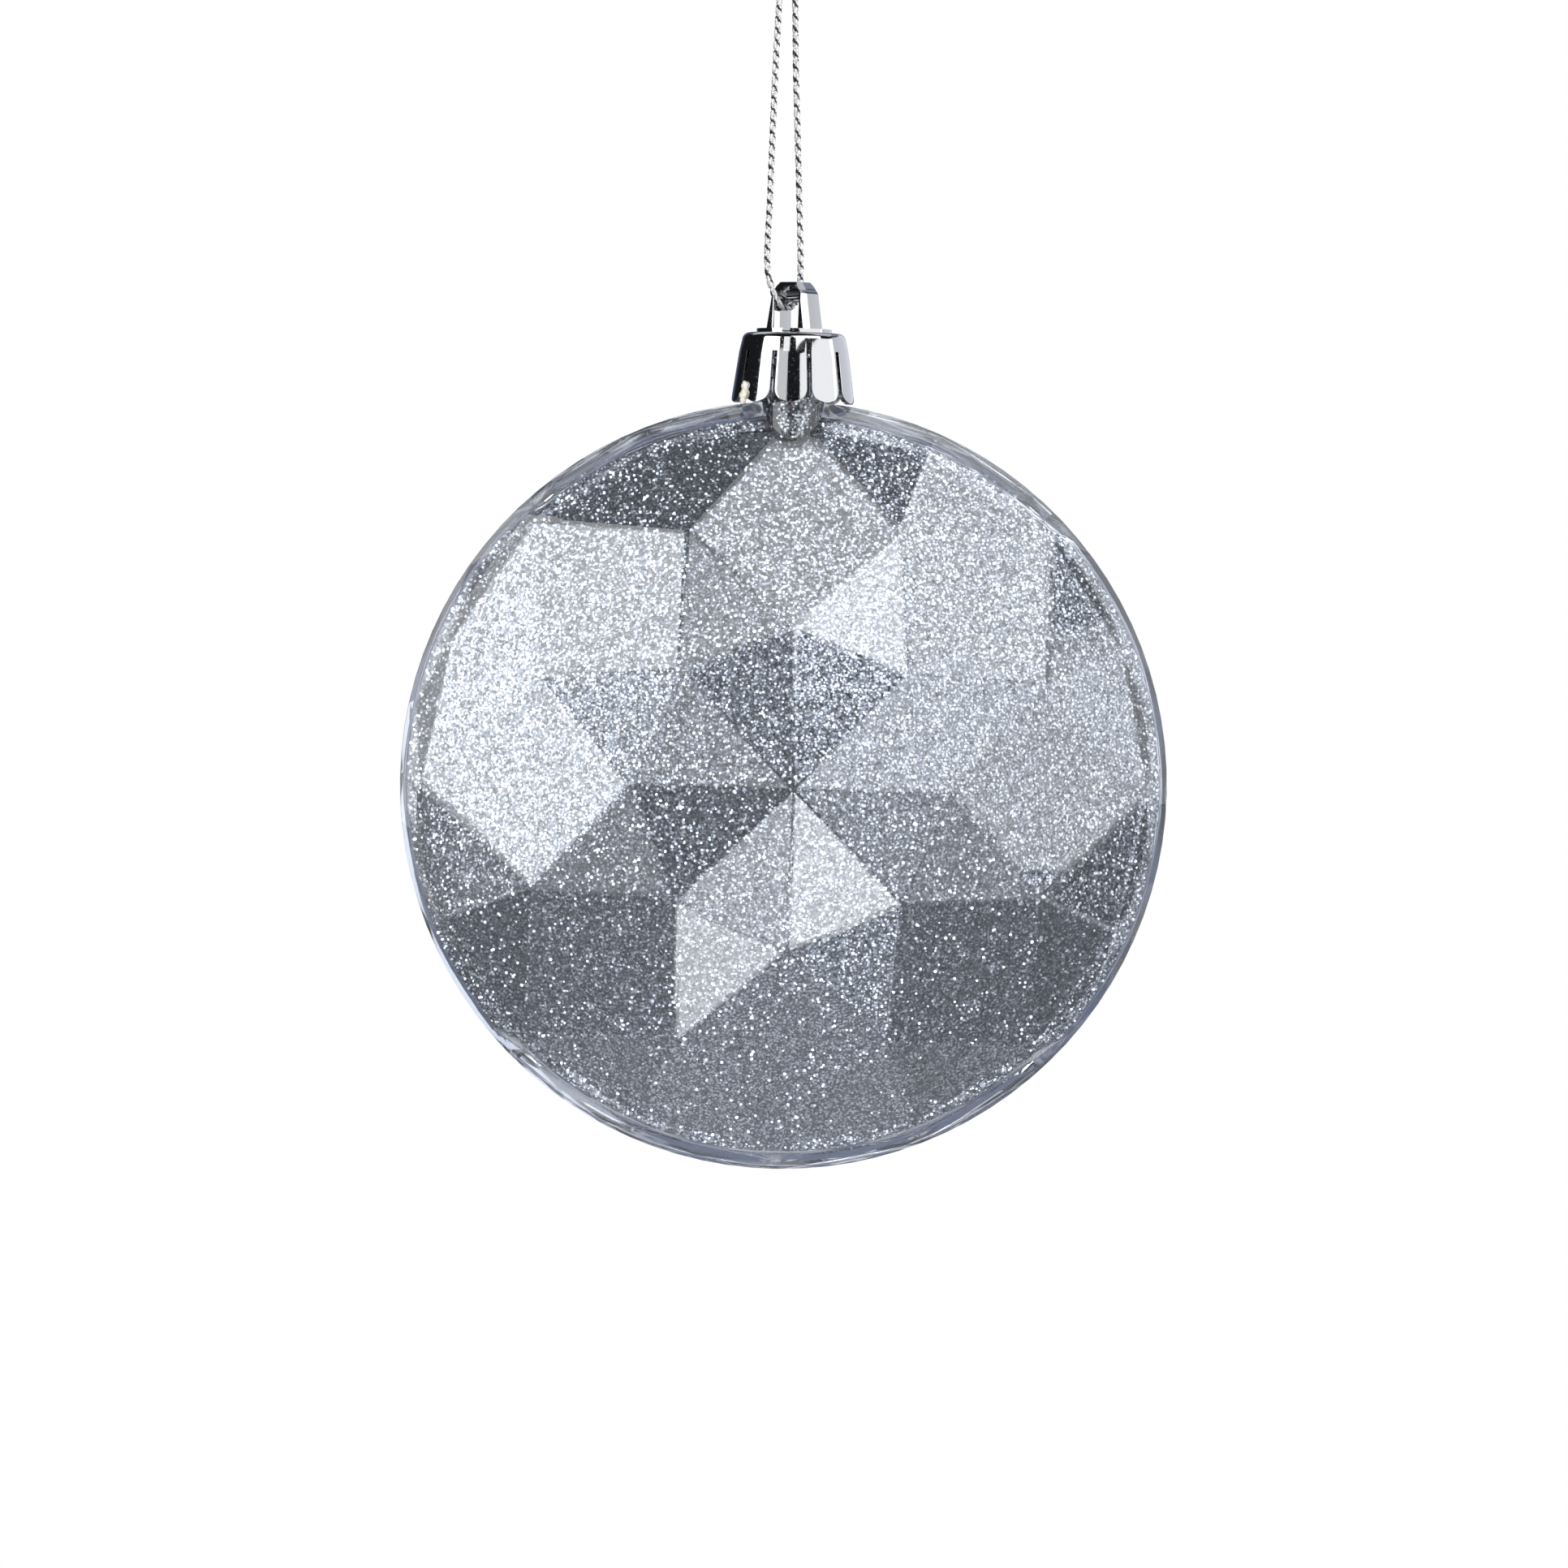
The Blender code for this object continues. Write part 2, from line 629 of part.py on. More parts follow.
def main():
    clear_scene()
    clear = finish("clear_plastic", (0.86, 0.88, 0.95), 0.04, transmission=1.0)
    glitter = finish("silver_glitter", (0.72, 0.74, 0.78), 0.3, metallic=1.0)
    chrome = finish("chromed_plastic", (0.85, 0.86, 0.88), 0.05, metallic=1.0)
    silver_cord = finish("metallic_cord", (0.62, 0.63, 0.66), 0.35, metallic=0.8)

    hanging_point = pivot("hanging_point", 0.0, 0.0)
    swing_axis = pivot("eye_swing_axis", AXIS_X, BAR_Z, EYE_TURN)
    turn_axis = pivot("cap_turn_axis", AXIS_X, CAP_TOP_Z)
    ball_middle = pivot("ball_middle", AXIS_X, BALL_Z)

    build_cord(silver_cord)
    build_knot(silver_cord, hanging_point)
    build_eye(chrome, swing_axis)
    build_cap(chrome, turn_axis)
    for half, side in (("front", 1), ("back", -1)):
        build_shell(half + "_shell", side, clear, ball_middle)
        build_coat(half + "_glitter_coat", side, glitter, ball_middle)


main()
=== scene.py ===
"""The look of a hanging bauble: a flat faceted ball of clear plastic lined with silver glitter,
its chromed cap and eye, and the twisted metallic cord with its knot.

Metres, +Z up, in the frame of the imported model. The front face looks along -Y.
"""

from __future__ import annotations

import logging
import math
from dataclasses import dataclass, field
from enum import Enum
from typing import Iterable, Sequence

import bmesh
import bpy
from mathutils import Matrix, Vector


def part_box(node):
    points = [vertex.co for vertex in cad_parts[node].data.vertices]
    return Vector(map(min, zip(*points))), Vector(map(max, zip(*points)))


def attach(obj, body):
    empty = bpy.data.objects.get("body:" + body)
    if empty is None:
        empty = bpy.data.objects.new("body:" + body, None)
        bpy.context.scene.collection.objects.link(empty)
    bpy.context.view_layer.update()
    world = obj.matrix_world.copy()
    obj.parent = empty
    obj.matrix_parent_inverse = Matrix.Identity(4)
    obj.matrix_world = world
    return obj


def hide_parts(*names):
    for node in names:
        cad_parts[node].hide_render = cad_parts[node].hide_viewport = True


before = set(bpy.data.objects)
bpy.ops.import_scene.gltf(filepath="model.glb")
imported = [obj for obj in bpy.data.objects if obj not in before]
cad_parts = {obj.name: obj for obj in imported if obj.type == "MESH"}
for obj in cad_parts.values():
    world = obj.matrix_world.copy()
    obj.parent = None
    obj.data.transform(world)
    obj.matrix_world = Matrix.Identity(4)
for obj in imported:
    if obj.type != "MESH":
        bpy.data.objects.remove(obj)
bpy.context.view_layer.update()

MM = 0.001
LOG = logging.getLogger("bauble")

Rgb = tuple[float, float, float]
Nodes = bpy.types.NodeTree
Node = bpy.types.Node
Socket = bpy.types.NodeSocket
Object = bpy.types.Object
Material = bpy.types.Material


class Half(Enum):
    """The two moulded halves of the ball, with the side of the parting plane each lies on."""

    FRONT = 1
    BACK = -1

    @property
    def label(self) -> str:
        """The half's name as the pieces use it."""
        return self.name.lower()


class Slot(Enum):
    """The record's material slots."""

    CLEAR = "clear_plastic"
    GLITTER = "silver_glitter"
    CHROME = "chromed_plastic"
    CORD = "metallic_cord"


# Node helpers


def feed(tree: Nodes, node: Node, **inputs: object) -> Node:
    """Sets a node's sockets.

    Args:
        tree: The tree that holds the node.
        node: The node.
        **inputs: Values or output sockets by name, with _ for a space. A name such as in_0
            means the socket's index.

    Returns:
        The same node.
    """
    for name, value in inputs.items():
        key = int(name[3:]) if name.startswith("in_") else name.replace("_", " ")
        connect(tree, value, node.inputs[key])
    return node


def new_node(tree: Nodes, kind: str, **inputs: object) -> Node:
    """Adds a node of a Blender type and sets its sockets, as feed does."""
    return feed(tree, tree.nodes.new(kind), **inputs)


def connect(tree: Nodes, value: object, socket: Socket) -> None:
    """Links an output to a socket, or sets the socket's own value.

    Args:
        tree: The tree that holds both.
        value: An output socket, or a plain value.
        socket: The input to feed.
    """
    if isinstance(value, Socket):
        tree.links.new(value, socket)
    else:
        socket.default_value = value


def math_node(tree: Nodes, operation: str, *values: object) -> Socket:
    """Adds a Math node.

    Args:
        tree: The tree that takes it.
        operation: The operation's Blender name.
        *values: Numbers or output sockets.

    Returns:
        Its output.
    """
    node = tree.nodes.new("ShaderNodeMath")
    node.operation = operation
    for index, value in enumerate(values):
        connect(tree, value, node.inputs[index])
    return node.outputs[0]


def vector_node(tree: Nodes, operation: str, *values: object) -> Socket:
    """Adds a Vector Math node.

    Args:
        tree: The tree that takes it.
        operation: The operation's Blender name.
        *values: Vectors, or output sockets. SCALE takes its number second.

    Returns:
        Its vector output, or its value where the operation gives a number.
    """
    node = tree.nodes.new("ShaderNodeVectorMath")
    node.operation = operation
    for index, value in enumerate(values):
        place = "Scale" if operation == "SCALE" and index == 1 else index
        connect(tree, value, node.inputs[place])
    number = operation in ("DOT_PRODUCT", "LENGTH", "DISTANCE")
    return node.outputs["Value" if number else "Vector"]


def mix_colors(tree: Nodes, share: object, first: object, second: object) -> Socket:
    """Mixes two colours.

    Args:
        tree: The tree that takes the node.
        share: How much of the second, a number or a socket.
        first: The first colour.
        second: The second colour.

    Returns:
        The mixed colour's output.
    """
    node = tree.nodes.new("ShaderNodeMix")
    node.data_type = "RGBA"
    return feed(tree, node, in_0=share, in_6=first, in_7=second).outputs[2]


def ramp(
    tree: Nodes, value: object, low: float, high: float, start: float, end: float
) -> Socket:
    """Maps a value from one range to another, smoothly and within bounds.

    Args:
        tree: The tree that takes the node.
        value: The value to map.
        low: Where the input starts.
        high: Where the input ends.
        start: The output at low.
        end: The output at high.

    Returns:
        The mapped value's output.
    """
    node = tree.nodes.new("ShaderNodeMapRange")
    node.interpolation_type = "SMOOTHSTEP"
    connect(tree, value, node.inputs["Value"])
    for name, number in (("From Min", low), ("From Max", high), ("To Min", start), ("To Max", end)):
        node.inputs[name].default_value = number
    return node.outputs["Result"]


def rgba(color: Rgb) -> tuple[float, float, float, float]:
    """The colour with a full alpha."""
    return (*color, 1.0)


def new_group(
    name: str, sizes: dict[str, float], results: dict[str, str]
) -> tuple[Nodes, Node, Node]:
    """Starts a shader node group with named sockets.

    Args:
        name: The group's name.
        sizes: Its number inputs with their defaults.
        results: Its outputs with their kinds.

    Returns:
        The tree, its Group Input node and its Group Output node.
    """
    tree = bpy.data.node_groups.new(name, "ShaderNodeTree")
    for key, value in sizes.items():
        made = tree.interface.new_socket(name=key, in_out="INPUT", socket_type="NodeSocketFloat")
        made.default_value = value
    for key, kind in results.items():
        tree.interface.new_socket(name=key, in_out="OUTPUT", socket_type="NodeSocket" + kind)
    return tree, tree.nodes.new("NodeGroupInput"), tree.nodes.new("NodeGroupOutput")


# Effects that several finishes share

# Factors that draw a flake's own numbers from its cell's colour, and how much more a sparkling
# flake leans.
TONE_DRAW = 7.31
SPARKLE_DRAW = 11.7
SPARKLE_LEAN = 1.8


def build_flake_field() -> Nodes:
    """Builds the effect of small flat flakes lying at all angles in a varnish.

    Returns:
        A group with the flakes' normals, tones and sparkle.
    """
    tree, given, result = new_group(
        "flake_field",
        {"Flakes per Metre": 2600.0, "Tilt": 0.5, "Tone Spread": 0.5},
        {"Normal": "Vector", "Tone": "Float", "Sparkle": "Float", "Gap": "Float"},
    )
    per_metre, lean, spread = (given.outputs[i] for i in range(3))
    place = new_node(tree, "ShaderNodeTexCoord").outputs["Object"]
    cells = new_node(tree, "ShaderNodeTexVoronoi", Vector=place, Randomness=1.0, Scale=per_metre)
    parts = new_node(tree, "ShaderNodeSeparateColor", Color=cells.outputs["Color"])
    lot = math_node(tree, "FRACT", math_node(tree, "MULTIPLY", parts.outputs[1], SPARKLE_DRAW))
    sparkle = ramp(tree, lot, 0.86, 0.9, 0.0, 1.0)
    loose = math_node(tree, "MULTIPLY_ADD", sparkle, SPARKLE_LEAN, 1.0)
    way = vector_node(tree, "SUBTRACT", cells.outputs["Color"], (0.5, 0.5, 0.5))
    tilt = vector_node(tree, "SCALE", way, math_node(tree, "MULTIPLY", loose, lean))
    surface = new_node(tree, "ShaderNodeNewGeometry").outputs["Normal"]
    leaning = vector_node(tree, "ADD", surface, tilt)
    lot = math_node(tree, "FRACT", math_node(tree, "MULTIPLY", parts.outputs[0], TONE_DRAW))
    swing = math_node(tree, "MULTIPLY", lot, spread)
    feed(
        tree,
        result,
        Normal=vector_node(tree, "NORMALIZE", leaning),
        Tone=math_node(tree, "ADD", math_node(tree, "SUBTRACT", 1.0, spread), swing),
        Sparkle=sparkle,
        Gap=ramp(tree, cells.outputs["Distance"], 0.42, 0.62, 0.0, 1.0),
    )
    return tree


def build_handling_marks() -> Nodes:
    """Builds the faint flow waves, dust and hairlines of a moulded, handled surface.

    Returns:
        A group with a height for Bump and a mask for roughness.
    """
    tree, given, result = new_group(
        "handling_marks",
        {"Wave Scale": 90.0, "Dust Scale": 1400.0},
        {"Height": "Float", "Marks": "Float"},
    )
    kind, place = "ShaderNodeTexNoise", new_node(tree, "ShaderNodeTexCoord").outputs["Object"]
    wave = new_node(
        tree, kind, Vector=place, Detail=1.0, Roughness=0.4, Scale=given.outputs["Wave Scale"]
    )
    dust = new_node(
        tree, kind, Vector=place, Detail=2.0, Roughness=0.6, Scale=given.outputs["Dust Scale"]
    )
    marks = ramp(tree, dust.outputs["Fac"], 0.6, 0.72, 0.0, 1.0)
    feed(tree, result, Height=wave.outputs["Fac"], Marks=marks)
    return tree


@dataclass
class Effects:
    """The shader groups that several finishes share."""

    flake_field: Nodes = field(default_factory=build_flake_field)
    handling_marks: Nodes = field(default_factory=build_handling_marks)


def new_material(name: str) -> tuple[Material, Nodes, Node]:
    """Starts a material.

    Args:
        name: Its name.

    Returns:
        The material, its tree and its Principled BSDF.
    """
    material = bpy.data.materials.new(name)
    material.use_nodes = True
    return material, material.node_tree, material.node_tree.nodes["Principled BSDF"]


def place_group(tree: Nodes, group: Nodes, **inputs: object) -> Node:
    """Places a shared group in a material.

    Args:
        tree: The material's tree.
        group: The shared group.
        **inputs: Its socket values by name, with _ for a space.

    Returns:
        The group's node.
    """
    node = tree.nodes.new("ShaderNodeGroup")
    node.node_tree = group
    return feed(tree, node, **inputs)


# Finishes


@dataclass(frozen=True)
class Finish:
    """What most finishes share: a gloss that handling marks dull, and a wavy surface."""

    name: str
    roughness: float
    wave_scale: float
    dust_scale: float
    dulling: float
    metallic: float = 0.0
    bump: float = 0.0
    wave_depth: float = 0.0

    def color(self, tree: Nodes, marks: Node) -> Socket:
        """Builds the finish's colour.

        Args:
            tree: The material's tree.
            marks: The handling marks.

        Returns:
            The colour's output.
        """
        raise NotImplementedError

    def relief(self, tree: Nodes, marks: Node) -> Socket:
        """The height that the surface's bumps follow."""
        return marks.outputs["Height"]

    def start(self, effects: Effects) -> tuple[Material, Nodes, Node, Node]:
        """Builds the gloss and the waviness.

        Args:
            effects: The shared shader groups.

        Returns:
            The material, its tree, its Principled BSDF and its handling marks.
        """
        material, tree, shader = new_material(self.name)
        marks = place_group(
            tree, effects.handling_marks, Wave_Scale=self.wave_scale, Dust_Scale=self.dust_scale
        )
        rough = math_node(
            tree, "MULTIPLY_ADD", marks.outputs["Marks"], self.dulling, self.roughness
        )
        feed(tree, shader, Metallic=self.metallic, Roughness=rough)
        if self.bump:
            bump = new_node(
                tree,
                "ShaderNodeBump",
                Strength=self.bump,
                Distance=self.wave_depth,
                Height=self.relief(tree, marks),
            )
            feed(tree, shader, Normal=bump.outputs["Normal"])
        return material, tree, shader, marks

    def build(self, effects: Effects) -> Material:
        """Builds the material.

        Args:
            effects: The shared shader groups.

        Returns:
            The material.
        """
        material, tree, shader, marks = self.start(effects)
        feed(tree, shader, Base_Color=self.color(tree, marks))
        return material


@dataclass(frozen=True)
class ClearPlastic(Finish):
    """Clear moulded polystyrene with a slight blue-violet cast."""

    name: str = "clear_plastic"
    roughness: float = 0.012
    wave_scale: float = 70.0
    dust_scale: float = 900.0
    dulling: float = 0.02
    bump: float = 0.25
    wave_depth: float = 0.00004
    tint: Rgb = (0.89, 0.92, 0.965)
    shade: Rgb = (0.9, 0.915, 0.955)
    clearness: float = 0.972
    ior: float = 1.57

    def build(self, effects: Effects) -> Material:
        """Builds the material. Light passes straight through it to the glitter behind.

        Args:
            effects: The shared shader groups.

        Returns:
            The material.
        """
        material, tree, shader, _ = self.start(effects)
        feed(tree, shader, Base_Color=rgba(self.tint), Transmission_Weight=self.clearness)
        feed(tree, shader, IOR=self.ior)
        straight = new_node(tree, "ShaderNodeBsdfTransparent", Color=rgba(self.shade))
        shadow = new_node(tree, "ShaderNodeLightPath").outputs["Is Shadow Ray"]
        mix = new_node(tree, "ShaderNodeMixShader", in_0=shadow, in_1=shader.outputs[0])
        feed(tree, mix, in_2=straight.outputs[0])
        feed(tree, tree.nodes["Material Output"], Surface=mix.outputs[0])
        return material


@dataclass(frozen=True)
class GlitterLining:
    """Fine silver glitter bedded in varnish on the inside of the shells."""

    silver: Rgb = (0.86, 0.87, 0.89)
    shade: Rgb = (0.16, 0.177, 0.2)
    flakes_per_metre: float = 3300.0
    tilt: float = 0.28
    tone_spread: float = 0.85
    roughness: float = 0.22
    sparkle_gloss: float = 0.2

    def build(self, effects: Effects) -> Material:
        """Builds the material.

        Args:
            effects: The shared shader groups.

        Returns:
            The material.
        """
        material, tree, shader = new_material("glitter_lining")
        flakes = place_group(
            tree,
            effects.flake_field,
            Flakes_per_Metre=self.flakes_per_metre,
            Tilt=self.tilt,
            Tone_Spread=self.tone_spread,
        )
        tone = math_node(tree, "SUBTRACT", flakes.outputs["Tone"], flakes.outputs["Gap"])
        color = mix_colors(tree, tone, rgba(self.shade), rgba(self.silver))
        sparkle = flakes.outputs["Sparkle"]
        rough = math_node(tree, "MULTIPLY_ADD", sparkle, -self.sparkle_gloss, self.roughness)
        facing = flakes.outputs["Normal"]
        feed(tree, shader, Base_Color=color, Metallic=1.0, Roughness=rough, Normal=facing)
        return material


@dataclass(frozen=True)
class LooseFlake(Finish):
    """The brighter, larger flakes that lie on the lining."""

    name: str = "loose_flake"
    roughness: float = 0.12
    wave_scale: float = 400.0
    dust_scale: float = 3000.0
    dulling: float = 0.1
    metallic: float = 1.0
    silver: Rgb = (0.93, 0.94, 0.96)
    cool_silver: Rgb = (0.82, 0.86, 0.95)

    def color(self, tree: Nodes, marks: Node) -> Socket:
        """Mixes two silvers from flake to flake."""
        share = marks.outputs["Height"]
        return mix_colors(tree, share, rgba(self.cool_silver), rgba(self.silver))


@dataclass(frozen=True)
class ChromePlate(Finish):
    """Vacuum-metallised plastic: a mirror with flow waves, dust and tiny pits."""

    name: str = "chromed_plastic"
    roughness: float = 0.06
    wave_scale: float = 260.0
    dust_scale: float = 5200.0
    dulling: float = 0.22
    metallic: float = 1.0
    bump: float = 0.35
    wave_depth: float = 0.00005
    silver: Rgb = (0.53, 0.535, 0.55)
    dust: Rgb = (0.42, 0.42, 0.44)
    dust_share: float = 0.35

    def color(self, tree: Nodes, marks: Node) -> Socket:
        """Greys the silver where dust lies."""
        dusty = math_node(tree, "MULTIPLY", marks.outputs["Marks"], self.dust_share)
        return mix_colors(tree, dusty, rgba(self.silver), rgba(self.dust))


@dataclass(frozen=True)
class MetallicYarn(Finish):
    """Silver film wound on yarn, bright on its crowns, with painted shade in its grooves."""

    name: str = "metallic_yarn"
    roughness: float = 0.3
    wave_scale: float = 2600.0
    dust_scale: float = 9000.0
    dulling: float = 0.2
    metallic: float = 0.5
    bump: float = 0.5
    wave_depth: float = 0.00003
    silver: Rgb = (0.97, 0.97, 0.98)
    # Painted shade: the near-black that stands in for the shade in the grooves between the film's
    # hooks.
    groove_shade: Rgb = (0.05, 0.05, 0.055)
    fibre_scale: float = 5200.0
    hook_pitch: float = 1.55 * MM
    hook_slope: tuple[float, float, float] = (1.1, 0.6, 1.0)

    def relief(self, tree: Nodes, marks: Node) -> Socket:
        """The height of the fine fibres."""
        place = new_node(tree, "ShaderNodeTexCoord").outputs["Object"]
        fibre = new_node(
            tree, "ShaderNodeTexNoise", Vector=place, Scale=self.fibre_scale, Detail=2.0
        )
        return fibre.outputs["Fac"]

    def color(self, tree: Nodes, marks: Node) -> Socket:
        """Paints shade into the grooves between the wound film's hooks."""
        fuzz = ramp(tree, self.relief(tree, marks), 0.3, 0.45, 0.3, 1.0)
        place = new_node(tree, "ShaderNodeTexCoord").outputs["Object"]
        along = vector_node(tree, "DOT_PRODUCT", place, self.hook_slope)
        phase = math_node(tree, "MULTIPLY", along, math.tau / self.hook_pitch)
        # Painted shade: a stripe mask along the hooks, 0 in the grooves' painted shade and 1 on the
        # crowns.
        clear_of_shade = ramp(tree, math_node(tree, "SINE", phase), -0.8, -0.35, 0.0, 1.0)
        share = math_node(tree, "MULTIPLY", clear_of_shade, fuzz)
        return mix_colors(tree, share, rgba(self.groove_shade), rgba(self.silver))


@dataclass(frozen=True)
class BarePlastic(Finish):
    """The unplated cream plastic that shows where the cap was snapped off its runner."""

    name: str = "bare_plastic"
    roughness: float = 0.3
    wave_scale: float = 1500.0
    dust_scale: float = 2600.0
    dulling: float = 0.2
    bump: float = 0.6
    wave_depth: float = 0.0001
    cream: Rgb = (0.74, 0.66, 0.45)
    pale: Rgb = (0.93, 0.92, 0.86)

    def color(self, tree: Nodes, marks: Node) -> Socket:
        """Mottles the cream with a paler tone."""
        share = ramp(tree, marks.outputs["Height"], 0.4, 0.6, 0.0, 1.0)
        return mix_colors(tree, share, rgba(self.cream), rgba(self.pale))


# Mesh helpers

LARGE_FACE_WEIGHT = 80
# Two faces closer than this are one facet, unless they face straight forwards or back.
FLAT_COSINE = 0.99998
FACET_MOST_Y = 0.985
# Points of a copied node nearer than this are one.
MERGE_DISTANCE = 1e-6


def mesh_piece(
    name: str, points: Iterable[Sequence[float]], faces: Iterable[Sequence[int]]
) -> Object:
    """Makes an object from points and faces, merged and facing outwards.

    Args:
        name: The piece's name.
        points: Its points, in metres.
        faces: Its faces as point numbers.

    Returns:
        The object, linked to the scene.
    """
    mesh = bpy.data.meshes.new(name)
    mesh.from_pydata([tuple(p) for p in points], [], [list(f) for f in faces])
    grid = bmesh.new()
    grid.from_mesh(mesh)
    bmesh.ops.remove_doubles(grid, verts=grid.verts, dist=MERGE_DISTANCE / 10)
    bmesh.ops.recalc_face_normals(grid, faces=grid.faces)
    grid.to_mesh(mesh)
    grid.free()
    return link(name, mesh)


def link(name: str, mesh: bpy.types.Mesh) -> Object:
    """Makes an object of a mesh and links it to the scene."""
    made = bpy.data.objects.new(name, mesh)
    bpy.context.scene.collection.objects.link(made)
    return made


def from_grid(name: str, grid: bmesh.types.BMesh) -> Object:
    """Makes an object of a bmesh, which is freed."""
    mesh = bpy.data.meshes.new(name)
    grid.to_mesh(mesh)
    grid.free()
    return link(name, mesh)


def settle(obj: Object) -> Object:
    """Turns an object's modifiers into plain mesh.

    Args:
        obj: The object.

    Returns:
        The same object, with no modifiers left.
    """
    bpy.context.view_layer.update()
    graph = bpy.context.evaluated_depsgraph_get()
    mesh = bpy.data.meshes.new_from_object(obj.evaluated_get(graph))
    mesh.name = obj.name
    obj.modifiers.clear()
    obj.data = mesh
    return obj


def shade(obj: Object, degrees: float) -> None:
    """Shades a piece smooth but for edges sharper than an angle."""
    obj.data.shade_smooth()
    obj.data.set_sharp_from_angle(angle=math.radians(degrees))


def bevel(obj: Object, width: float, segments: int, degrees: float) -> None:
    """Adds a Bevel on edges sharper than an angle.

    Args:
        obj: The piece.
        width: The bevel's width in metres.
        segments: Its number of segments.
        degrees: The sharpest edge left alone.
    """
    step = obj.modifiers.new("soft_edges", "BEVEL")
    step.width = width
    step.segments = segments
    step.limit_method = "ANGLE"
    step.angle_limit = math.radians(degrees)
    step.use_clamp_overlap = True
    step.miter_outer = "MITER_ARC"


def weight_normals(obj: Object) -> None:
    """Lets the large faces keep their own direction where they meet small ones."""
    step = obj.modifiers.new("even_shading", "WEIGHTED_NORMAL")
    step.mode = "FACE_AREA"
    step.weight = LARGE_FACE_WEIGHT
    step.keep_sharp = True


def merged_copy(node: str, name: str) -> tuple[Object, bmesh.types.BMesh]:
    """Copies a node of the frame with its loose triangles joined into whole faces.

    Args:
        node: The node to copy.
        name: The new piece's name.

    Returns:
        The new object and a bmesh of its shape, to be written back and freed.
    """
    made = link(name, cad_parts[node].data.copy())
    made.data.materials.clear()
    grid = bmesh.new()
    grid.from_mesh(made.data)
    bmesh.ops.remove_doubles(grid, verts=grid.verts, dist=MERGE_DISTANCE)
    flat = [edge for edge in grid.edges if is_inside_facet(edge)]
    bmesh.ops.dissolve_edges(grid, edges=flat, use_verts=True)
    return made, grid


def is_inside_facet(edge: bmesh.types.BMEdge) -> bool:
    """Whether both faces of an edge are parts of one flat, sloping face."""
    if len(edge.link_faces) != 2:
        return False
    one, other = (face.normal for face in edge.link_faces)
    return one.dot(other) > FLAT_COSINE and abs(one.y) < FACET_MOST_Y


def write_back(obj: Object, grid: bmesh.types.BMesh) -> None:
    """Writes a bmesh to its object and frees it."""
    grid.to_mesh(obj.data)
    grid.free()


def dress(obj: Object, material: Material, body: str) -> None:
    """Gives a piece its material and the body that it rides on.

    Args:
        obj: The piece.
        material: Its only material.
        body: The body's name.
    """
    obj.data.materials.clear()
    obj.data.materials.append(material)
    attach(obj, body)
    LOG.info("%s: %d faces on %s", obj.name, len(obj.data.polygons), body)


def around_axis(centre: Vector, turn: float, radius: float, height: float) -> Vector:
    """The point at a turn from the front, a radius and a height about an upright axis."""
    way = Vector((math.sin(turn), -math.cos(turn), 0.0))
    return centre + radius * way + Vector((0.0, 0.0, height))


def turned(
    profile: Sequence[tuple[float, float]], sides: int, centre: Vector
) -> tuple[list[Vector], list[list[int]]]:
    """Makes a solid of revolution about an upright axis.

    Args:
        profile: A closed outline as (radius, height) pairs.
        sides: The number of sides.
        centre: The point that heights and radii start from.

    Returns:
        Its points and faces.
    """
    points: list[Vector] = []
    faces: list[list[int]] = []
    count = len(profile)
    for step in range(sides):
        angle = math.tau * step / sides
        points += [around_axis(centre, angle, radius, z) for radius, z in profile]
        here, over = step * count, (step + 1) % sides * count
        for row in range(count):
            after = (row + 1) % count
            faces.append([here + row, here + after, over + after, over + row])
    return points, faces


# Geometry Nodes helpers


class NodesBuilder:
    """Builds one Geometry Nodes tree with named inputs, and runs it on an object."""

    def __init__(self, name: str) -> None:
        """Starts the tree.

        Args:
            name: The tree's name.
        """
        self.tree = bpy.data.node_groups.new(name, "GeometryNodeTree")
        self.sockets: dict[str, str] = {}
        self._socket("Geometry", "Geometry", None)
        self.tree.interface.new_socket(
            name="Geometry", in_out="OUTPUT", socket_type="NodeSocketGeometry"
        )
        self.given: Node | None = None

    def _socket(self, name: str, kind: str, value: float | None) -> None:
        """Adds one input socket and notes its identifier."""
        made = self.tree.interface.new_socket(
            name=name, in_out="INPUT", socket_type="NodeSocket" + kind
        )
        if value is not None:
            made.default_value = value
        self.sockets[name] = made.identifier

    def inputs(self, **values: float) -> None:
        """Args:
            **values: Each input's name, with _ for a space, and its default.
        """
        for name, value in values.items():
            kind = "Int" if isinstance(value, int) else "Float"
            self._socket(name.replace("_", " "), kind, value)
        self._socket("Material", "Material", None)
        self.given = self.tree.nodes.new("NodeGroupInput")

    def value(self, name: str) -> Socket:
        """The output of a named input."""
        return self.given.outputs[name]

    def node(self, kind: str, **inputs: object) -> Node:
        """Adds a node with its sockets set, as new_node does."""
        return new_node(self.tree, kind, **inputs)

    def finish(self, geometry: Socket) -> None:
        """Ends the tree in Realize Instances and Set Material.

        Args:
            geometry: The last geometry made.
        """
        real = self.node("GeometryNodeRealizeInstances", Geometry=geometry).outputs[0]
        material = self.value("Material")
        dressed = self.node("GeometryNodeSetMaterial", Geometry=real, Material=material)
        self.node("NodeGroupOutput", in_0=dressed.outputs[0])

    def run(self, obj: Object, material: Material, **values: float) -> None:
        """Runs the tree on an object and leaves plain mesh.

        Args:
            obj: The object that holds the path or surface.
            material: The finish.
            **values: Input values by name, with _ for a space.
        """
        step = obj.modifiers.new(self.tree.name, "NODES")
        step.node_group = self.tree
        step[self.sockets["Material"]] = material
        for name, value in values.items():
            step[self.sockets[name.replace("_", " ")]] = value
        settle(obj)


# Cord and knot

PLIES = 2
STRAND_SIDES = 9

